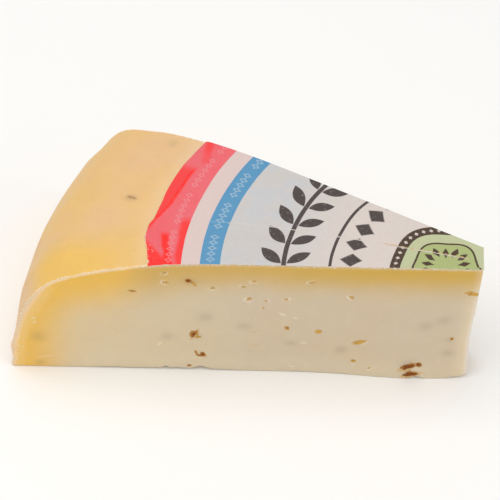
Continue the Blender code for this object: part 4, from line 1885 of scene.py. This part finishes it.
@dataclass
class FilmLabel:
    """The printed film over the crown: a thin closed sheet with creases and a wavy outer edge."""

    form: WedgeForm
    along_cells: int = 330
    across_cells: int = 90
    rest: float = 0.02 * MM
    thickness: float = 0.22 * MM
    crease_height: float = 0.45 * MM
    crease_half_width: float = 0.8
    wrinkle: float = 0.10 * MM
    edge: Table = (
        (-5.0, 111.9), (0.9, 112.3), (4.1, 113.2), (5.7, 114.0), (7.2, 114.8), (10.4, 114.6),
        (12.0, 113.4), (13.7, 113.1), (17.0, 112.9), (19.0, 113.2), (27.5, 113.4), (30.0, 113.0),
        (38.0, 112.8),
    )
    crease_line: Table = (
        (8.5, 114.3), (10.7, 113.5), (12.5, 112.0), (14.2, 110.8), (16.0, 109.5), (19.6, 108.7),
        (23.3, 108.4), (27.2, 108.2),
    )

    def edge_radius(self, turn: Array) -> Array:
        """Radius of the film's outer edge, in metres, at angles in degrees."""
        return looked_up(self.edge, turn) * MM

    def reaches(self, angle: float) -> Span:
        """Finds where the film starts and ends in one direction from the apex.

        Args:
            angle: The direction.

        Returns:
            Both distances from the apex.
        """
        reach = self.form.reach_to(angle, 0.1126)
        for _ in range(4):
            spot = self.form.place(angle, np.array([reach]), np.array([0.0]))
            reach = float(self.form.reach_to(angle, self.edge_radius(self.form.turn_of(spot))[0]))
        return float(self.form.tip_reach(angle, self.form.half_height)), reach

    def crease(self, radius: Array, turn: Array) -> tuple[Array, Array]:
        """Distance in millimetres outward from the red ring's long crease, and how much of it there is."""
        line = looked_up(self.crease_line, turn)
        return radius - line, ease(turn, 8.5, 11.0) * ease(turn, 28.5, 26.0)

    def tongue(self, radius: Array, turn: Array) -> tuple[Array, Array]:
        """Distance from the short fold near the front cut in millimetres, and how much of it there is."""
        return radius - (104.4 + 0.40 * turn), ease(turn, 9.0, 7.4)

    def relief(self, points: Array) -> Array:
        """Works out the film's folds.

        Args:
            points: Points on the film.

        Returns:
            Their heights above the film's plain shape.
        """
        radius, turn = self.form.radius_of(points) / MM, self.form.turn_of(points)
        outward, present = self.crease(radius, turn)
        ridge = self.crease_height * present * np.exp(-((outward / self.crease_half_width) ** 2))
        aside, there = self.tongue(radius, turn)
        ridge += 0.6 * self.crease_height * there * np.exp(-(((aside - 1.4) / self.crease_half_width) ** 2))
        loose = ease(radius, 98.0, 104.0)
        return ridge + self.wrinkle * loose * (1 + rough(points, 0.006, 8))

    def haze_and_sheen(self, points: Array) -> Array:
        """How pale the red ring looks, partly from air under the film and partly a painted sheen of reflected
        light: 0 where the film clings to the rind, 1 where air lies under it.

        Args:
            points: Points on the film.

        Returns:
            The haze.
        """
        radius, turn = self.form.radius_of(points) / MM, self.form.turn_of(points)
        fine = 0.5 * rough(points, 0.0035, 13)
        outward, present = self.crease(radius, turn)
        aside, there = self.tongue(radius, turn)
        high = np.abs(radius - (105.5 + 0.85 * (turn - 29.0)) + fine)
        near = radius - (108.0 + 1.5 * (turn - 2.4))
        clings = [
            0.74 * present * ease(outward + 0.3 * fine, -1.3, 0.1),
            present * ease(np.abs(outward), 1.1, 0.4),
            there * ease(np.abs(aside + fine), 1.9, 0.9),
            0.9 * ease(near + fine, -1.0, 0.8) * ease(turn, 9.0, 7.0),
            0.95 * ease(turn + fine, 2.4, 1.0) * ease(radius, 102.5, 104.5),
            0.85 * ease(radius + fine, 103.0, 101.2) * ease(turn + fine, 14.0, 11.0),
            (0.4 + 0.3 * ease(turn, 31.0, 34.0)) * ease(high, 2.6, 1.0) * ease(turn, 28.5, 30.5),
        ]
        haze_and_sheen = np.clip(0.95 + 0.2 * rough(points, 0.012, 9), 0, 1)
        return haze_and_sheen * (1 - np.clip(np.maximum.reduce(clings), 0, 1))

    def build(self, print_film: Material, edge: Material) -> Object:
        """Makes the piece.

        Args:
            print_film: The material of the printed upper side.
            edge: The material of the cut edge and the underside.

        Returns:
            The object.
        """
        along, across = graded(self.along_cells, 0.1), graded(self.across_cells, 0.3)
        rows = []
        for angle in across * self.form.angle:
            near, far = self.reaches(angle)
            bunched = 1 - (1 - along) ** 0.8
            rows.append(self.form.place(angle, near + (far - near) * bunched, np.zeros(len(along))))
        flat = np.stack(rows, axis=1).reshape(-1, 3)
        bed = self.form.crown(self.form.radius_of(flat)) + self.rest
        top, under = flat.copy(), flat.copy()
        under[:, 2] = bed
        inward = self.edge_radius(self.form.turn_of(flat)) - self.form.radius_of(flat)
        taper = 0.3 + 0.7 * ease(inward, 0, 1.5 * MM)
        top[:, 2] = bed + self.thickness * taper + self.relief(flat)
        count = len(flat)
        grid = np.arange(count).reshape(len(along), len(across))
        cells, ring = grid_quads(grid)[:, (0, 3, 2, 1)], grid_rim(grid)
        after = np.roll(ring, -1)
        walls = np.stack([ring, after, after + count, ring + count], axis=-1)
        quads = np.vstack([cells[:, ::-1], cells + count, walls[:, ::-1]])
        slots = np.concatenate([np.zeros(len(cells)), np.ones(len(cells) + len(walls))])
        piece = mesh_piece("film_label", np.vstack([top, under]), quads.tolist(), print_film, edge)
        piece.data.polygons.foreach_set("material_index", slots.astype(np.int32))
        piece.data.set_sharp_from_angle(angle=math.radians(40))
        haze_and_sheen = self.haze_and_sheen(flat)
        paint(piece, {"haze_and_sheen": np.concatenate([haze_and_sheen, haze_and_sheen])})
        return piece


@dataclass
class ScoredLine:
    """The line that a knife has scored through the film towards the tip, with raised pale lips."""

    form: WedgeForm
    film: FilmLabel
    route: Table = (
        (-19.0, -22.1), (-7.2, -23.1), (5.1, -24.1), (16.4, -25.8), (24.5, -27.5), (40.8, -30.2),
        (58.3, -33.8), (70.5, -36.2), (84.5, -39.2),
    )
    half_width: float = 0.20 * MM
    height: float = 0.045 * MM
    steps: int = 220

    def points(self) -> Array:
        """Lays the line's middle on the film.

        Returns:
            Points along it, evenly spaced.
        """
        dense = resample(np.array(self.route) * MM, np.linspace(0, 1, self.steps))
        for _ in range(12):
            dense[1:-1] = (dense[:-2] + dense[2:]) / 2
        spots = np.column_stack([dense, np.zeros(len(dense))])
        spots[:, 2] = self.form.crown(self.form.radius_of(spots)) + self.film.rest + self.film.thickness
        return spots

    def build(self, material: Material) -> Object:
        """Makes the piece, a low rounded ridge that fades at both ends.

        Args:
            material: The line's material.

        Returns:
            The object.
        """
        spots = self.points()
        forward = np.gradient(spots, axis=0)
        side = np.cross(forward, (0, 0, 1))
        side /= np.linalg.norm(side, axis=1, keepdims=True)
        share = np.linspace(0, 1, len(spots))
        fade = np.sin(np.pi * np.clip(share * 4, 0, 0.5)) * np.sin(np.pi * np.clip((1 - share) * 8, 0, 0.5))
        size = (0.1 + 0.9 * fade) * (1 + 0.6 * rough(spots, 0.003, 12))
        arch = np.linspace(0, np.pi, 7)
        points = [
            spots + side * (self.half_width * math.cos(turn) * size)[:, None]
            + np.array([0, 0, 1]) * (self.height * math.sin(turn) * size)[:, None]
            for turn in arch
        ]
        stack = np.stack(points, axis=1)
        stack[:, :, 2] += self.film.relief(stack.reshape(-1, 3) * (1, 1, 0)).reshape(stack.shape[:2])
        grid = np.arange(stack.shape[0] * stack.shape[1]).reshape(stack.shape[:2])
        ring = np.concatenate([grid, grid[:, :1]], axis=1)
        quads = grid_quads(ring)[:, (0, 3, 2, 1)]
        faces = quads.tolist() + [grid[0, ::-1].tolist(), grid[-1].tolist()]
        return mesh_piece("scored_line", stack.reshape(-1, 3), faces, material)


@dataclass(frozen=True)
class Crumb:
    """One crumb: where it lies, its size along and up in metres, and its tone from pale to amber."""

    place: Vector
    length: float
    height: float
    tone: float


@dataclass
class CrumbTrail:
    """Crumbs along the edges that the knives left, joined into one piece."""

    form: WedgeForm
    body: CheeseBody
    line: ScoredLine
    chance: int = 21
    crown_edge: int = 170
    rim_edge: int = 34
    film_edge: int = 300
    low_edge: int = 50
    loose: int = 46
    line_count: int = 84
    film_corner: int = 44
    crumbs: list[Crumb] = field(default_factory=list)

    def __post_init__(self) -> None:
        """Seeds the source of chance."""
        self.rng = random.Random(self.chance)

    def on_front(self, x: float, height: float, depth: float = 0.0) -> Vector:
        """A point on the uneven front cut, or a little inside it."""
        point = np.array([[x, self.form.front_y + depth, max(height, 0.0)]])
        return Vector(self.body.settled(point, Vector((0, -1, 0)))[0])

    def along_crown(self) -> None:
        """Lays crumbs on the crown's cut edge, outside the film."""
        rng = self.rng
        for _ in range(self.crown_edge):
            radius = 0.1125 + 0.0505 * rng.random() ** 0.9
            height = float(self.form.crown(np.array([radius]))[0]) - rng.uniform(-0.05, 0.30) * MM
            place = self.on_front(self.form.wheel[0] - radius, height, rng.uniform(0.1, 0.55) * MM)
            size = rng.uniform(0.08, 0.26) * rng.choice((1.0, 1.0, 1.5)) * MM
            self.crumbs.append(Crumb(place, size * rng.uniform(1.0, 2.2), size * 0.6, rng.uniform(0, 0.3)))

    def along_rim(self) -> None:
        """Lays shavings near the rim and the shoulder on the front cut."""
        rng = self.rng
        for _ in range(self.rim_edge):
            height = rng.uniform(2.0, 44.0) * MM
            radius = float(np.interp(height, *self.form.shoulder(200)[::-1, ::-1].T))
            x = self.form.wheel[0] - radius + rng.uniform(0.2, 1.0) * rng.choice((1, 2, 6)) * MM
            size, place = rng.uniform(0.10, 0.26) * MM, self.on_front(x, height)
            self.crumbs.append(Crumb(place, size * rng.uniform(1, 2), size, rng.uniform(0, 0.4)))

    def along_film(self) -> None:
        """Frays the cheese right under the film's front edge."""
        rng, form = self.rng, self.form
        for _ in range(self.film_edge):
            x = rng.uniform(form.wheel[0] - 0.112, form.tip_x - 0.6 * MM)
            height = float(form.crown(np.array([abs(form.wheel[0] - x)]))[0]) - rng.uniform(-0.15, 0.6) * MM
            size, tone = rng.uniform(0.08, 0.22) * MM, rng.choice((0.0, 0.0, 0.1, 0.6))
            place = self.on_front(x, height)
            self.crumbs.append(Crumb(place, size * rng.uniform(1.2, 3.2), size * 0.7, tone))

    def scattered(self) -> None:
        """Lays crumbs along the lower edge, and a few loose ones anywhere on the front cut."""
        rng = self.rng
        for _ in range(self.low_edge):
            size = rng.uniform(0.12, 0.30) * MM
            place = self.on_front(rng.uniform(-86.0, 80.0) * MM, rng.uniform(0.5, 1.6) * MM, 0.2 * MM)
            self.crumbs.append(Crumb(place, size * rng.uniform(1, 2), size * 0.7, rng.uniform(0, 0.3)))
        for _ in range(self.loose):
            size = rng.uniform(0.06, 0.16) * MM
            place = self.on_front(rng.uniform(-84.0, 84.0) * MM, rng.uniform(2.0, 40.0) * MM)
            self.crumbs.append(Crumb(place, size * rng.uniform(1, 2.4), size, rng.choice((0.0, 0.0, 0.5))))

    def in_line(self) -> None:
        """Lays amber bits in the scored line near the tip."""
        rng, path = self.rng, self.line.points()
        for _ in range(self.line_count):
            middle = Vector(path[int((1 - 0.32 * rng.random()) * (len(path) - 1))])
            place = middle + Vector((0, rng.uniform(0.0, 0.6), 0.03)) * MM
            size = rng.uniform(0.12, 0.26) * MM
            self.crumbs.append(Crumb(place, size * rng.uniform(1, 2.4), size * 0.6, rng.uniform(0.5, 1.0)))

    def on_corner(self) -> None:
        """Lays pale frays on the film's front outer corner."""
        rng, form, film = self.rng, self.form, self.line.film
        for _ in range(self.film_corner):
            turn = rng.uniform(0.3, 8.0)
            radius = film.edge_radius(np.array([turn]))[0] - rng.choice((0, 0, 2.4)) * rng.random() * MM
            x = form.wheel[0] - radius * math.cos(math.radians(turn))
            y = form.wheel[1] + radius * math.sin(math.radians(turn))
            height = float(form.crown(np.array([radius]))[0]) + film.thickness + 0.05 * MM
            size = rng.uniform(0.08, 0.22) * MM
            self.crumbs.append(Crumb(Vector((x, y, height)), size * rng.uniform(1, 2), size * 0.7, 0.0))

    def build(self, material: Material) -> Object:
        """Makes the piece.

        Args:
            material: The crumbs' material.

        Returns:
            The object.
        """
        rng = self.rng
        self.along_crown()
        self.along_rim()
        self.along_film()
        self.scattered()
        self.in_line()
        self.on_corner()
        bm = bmesh.new()
        tones: list[float] = []
        for crumb in self.crumbs:
            made = bmesh.ops.create_icosphere(bm, subdivisions=2, radius=1.0)["verts"]
            size = Vector((crumb.length, rng.uniform(0.6, 1.2) * crumb.height, crumb.height))
            shift = Vector((rng.random(), rng.random(), rng.random())) * 40
            spin = Matrix.Rotation(rng.uniform(-0.6, 0.6), 3, "Y")
            for vert in made:
                dent = 1 + 0.7 * noise.noise(vert.co * 1.4 + shift)
                vert.co = crumb.place + spin @ Vector(a * b for a, b in zip(vert.co, size)) * dent
                tones.append(crumb.tone)
        piece = bmesh_piece("crumbs", bm, material)
        paint(piece, {"tone": np.array(tones)})
        return piece


# The studio


@dataclass
class Studio:
    """A plain pale floor, soft lights and the camera at the photograph's angle."""

    form: WedgeForm
    camera_offset: Triple = (-0.053971, -1.013938, 1.172663)
    pitch: float = math.radians(47.44)
    yaw: float = math.radians(1.117)
    roll: float = math.radians(0.424)
    focal_pixels: float = 4000.0
    frame_pixels: float = 500.0
    floor_half: float = 3.0
    floor_colour: Colour = (250, 249, 247)
    world_strength: float = 0.545
    key_place: Triple = (-0.25, -0.08, 1.1)
    key_size: float = 1.2
    key_power: float = 7.9
    fill_place: Triple = (1.1, -0.5, 0.6)
    fill_size: float = 0.9
    fill_power: float = 2.6

    def camera(self) -> None:
        """Makes the camera, placed from the wheel's axis."""
        data = bpy.data.cameras.new("camera")
        data.sensor_width = 36.0
        data.lens = self.focal_pixels / self.frame_pixels * data.sensor_width
        data.clip_start, data.clip_end = 0.1, 20.0
        made = bpy.data.objects.new("camera", data)
        bpy.context.scene.collection.objects.link(made)
        made.location = Vector((*self.form.wheel, 0.0)) + Vector(self.camera_offset)
        turned = Matrix.Rotation(self.yaw, 3, "Z") @ Matrix.Rotation(math.pi / 2 - self.pitch, 3, "X")
        made.rotation_euler = (turned @ Matrix.Rotation(self.roll, 3, "Z")).to_euler()
        bpy.context.scene.camera = made

    def floor(self) -> None:
        """Makes the floor."""
        half = self.floor_half
        corners = np.array([[-half, -half, 0], [half, -half, 0], [half, half, 0], [-half, half, 0]])
        sheet = Canvas("floor")
        sheet.feed(sheet.shader, Base_Color=self.floor_colour, Roughness=0.7)
        mesh_piece("floor", corners, [[0, 1, 2, 3]], sheet.material)

    def softbox(self, name: str, place: Triple, size: float, power: float) -> None:
        """Makes a square light that faces the wedge.

        Args:
            name: The light's name.
            place: Where it stands.
            size: Length of its side.
            power: Its power in watts.
        """
        data = bpy.data.lights.new(name, "AREA")
        data.shape = "SQUARE"
        data.size = size
        data.energy = power
        made = bpy.data.objects.new(name, data)
        bpy.context.scene.collection.objects.link(made)
        made.location = place
        made.rotation_euler = (-Vector(place)).to_track_quat("-Z", "Y").to_euler()

    def lights(self) -> None:
        """Makes the lights and the world, and sets plain display colours."""
        self.softbox("key", self.key_place, self.key_size, self.key_power)
        self.softbox("side", self.fill_place, self.fill_size, self.fill_power)
        world = bpy.data.worlds.new("studio")
        world.use_nodes = True
        background = world.node_tree.nodes["Background"].inputs
        background["Color"].default_value = (1.0, 1.0, 1.0, 1.0)
        background["Strength"].default_value = self.world_strength
        bpy.context.scene.world = world
        bpy.context.scene.view_settings.view_transform = "Standard"

    def build(self) -> None:
        """Builds the studio."""
        self.camera()
        self.floor()
        self.lights()


def dress(piece: Object, replaced: str | None = None) -> None:
    """Sets a piece on the wedge's body and logs it.

    Args:
        piece: The piece.
        replaced: The CAD node that it stands for, or None.
    """
    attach(piece, "root")
    if replaced:
        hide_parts(replaced)
    mesh = piece.data
    LOG.info("%s: %d vertices, %d faces", piece.name, len(mesh.vertices), len(mesh.polygons))


def main() -> None:
    """Builds the wedge and its studio."""
    logging.basicConfig(level=logging.INFO, format="%(name)s: %(message)s")
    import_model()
    form = WedgeForm.from_frame()
    Studio(form).build()
    effects = Effects(form)
    marks = Marks(form)
    paste, rind = PasteFinish().material(effects), RindFinish().material(effects)
    body, film = CheeseBody(form, marks), FilmLabel(form)
    line = ScoredLine(form, film)
    dress(body.build(paste, rind), "cheese")
    dress(SeedBatch(form, marks, body).build(HuskFinish().material(effects)))
    dress(film.build(FilmFinish().material(effects), EdgeFinish().material(effects)), "label")
    dress(line.build(ScoreFinish().material(effects)))
    dress(CrumbTrail(form, body, line).build(CrumbFinish().material(effects)))


if __name__ == "__main__":
    main()
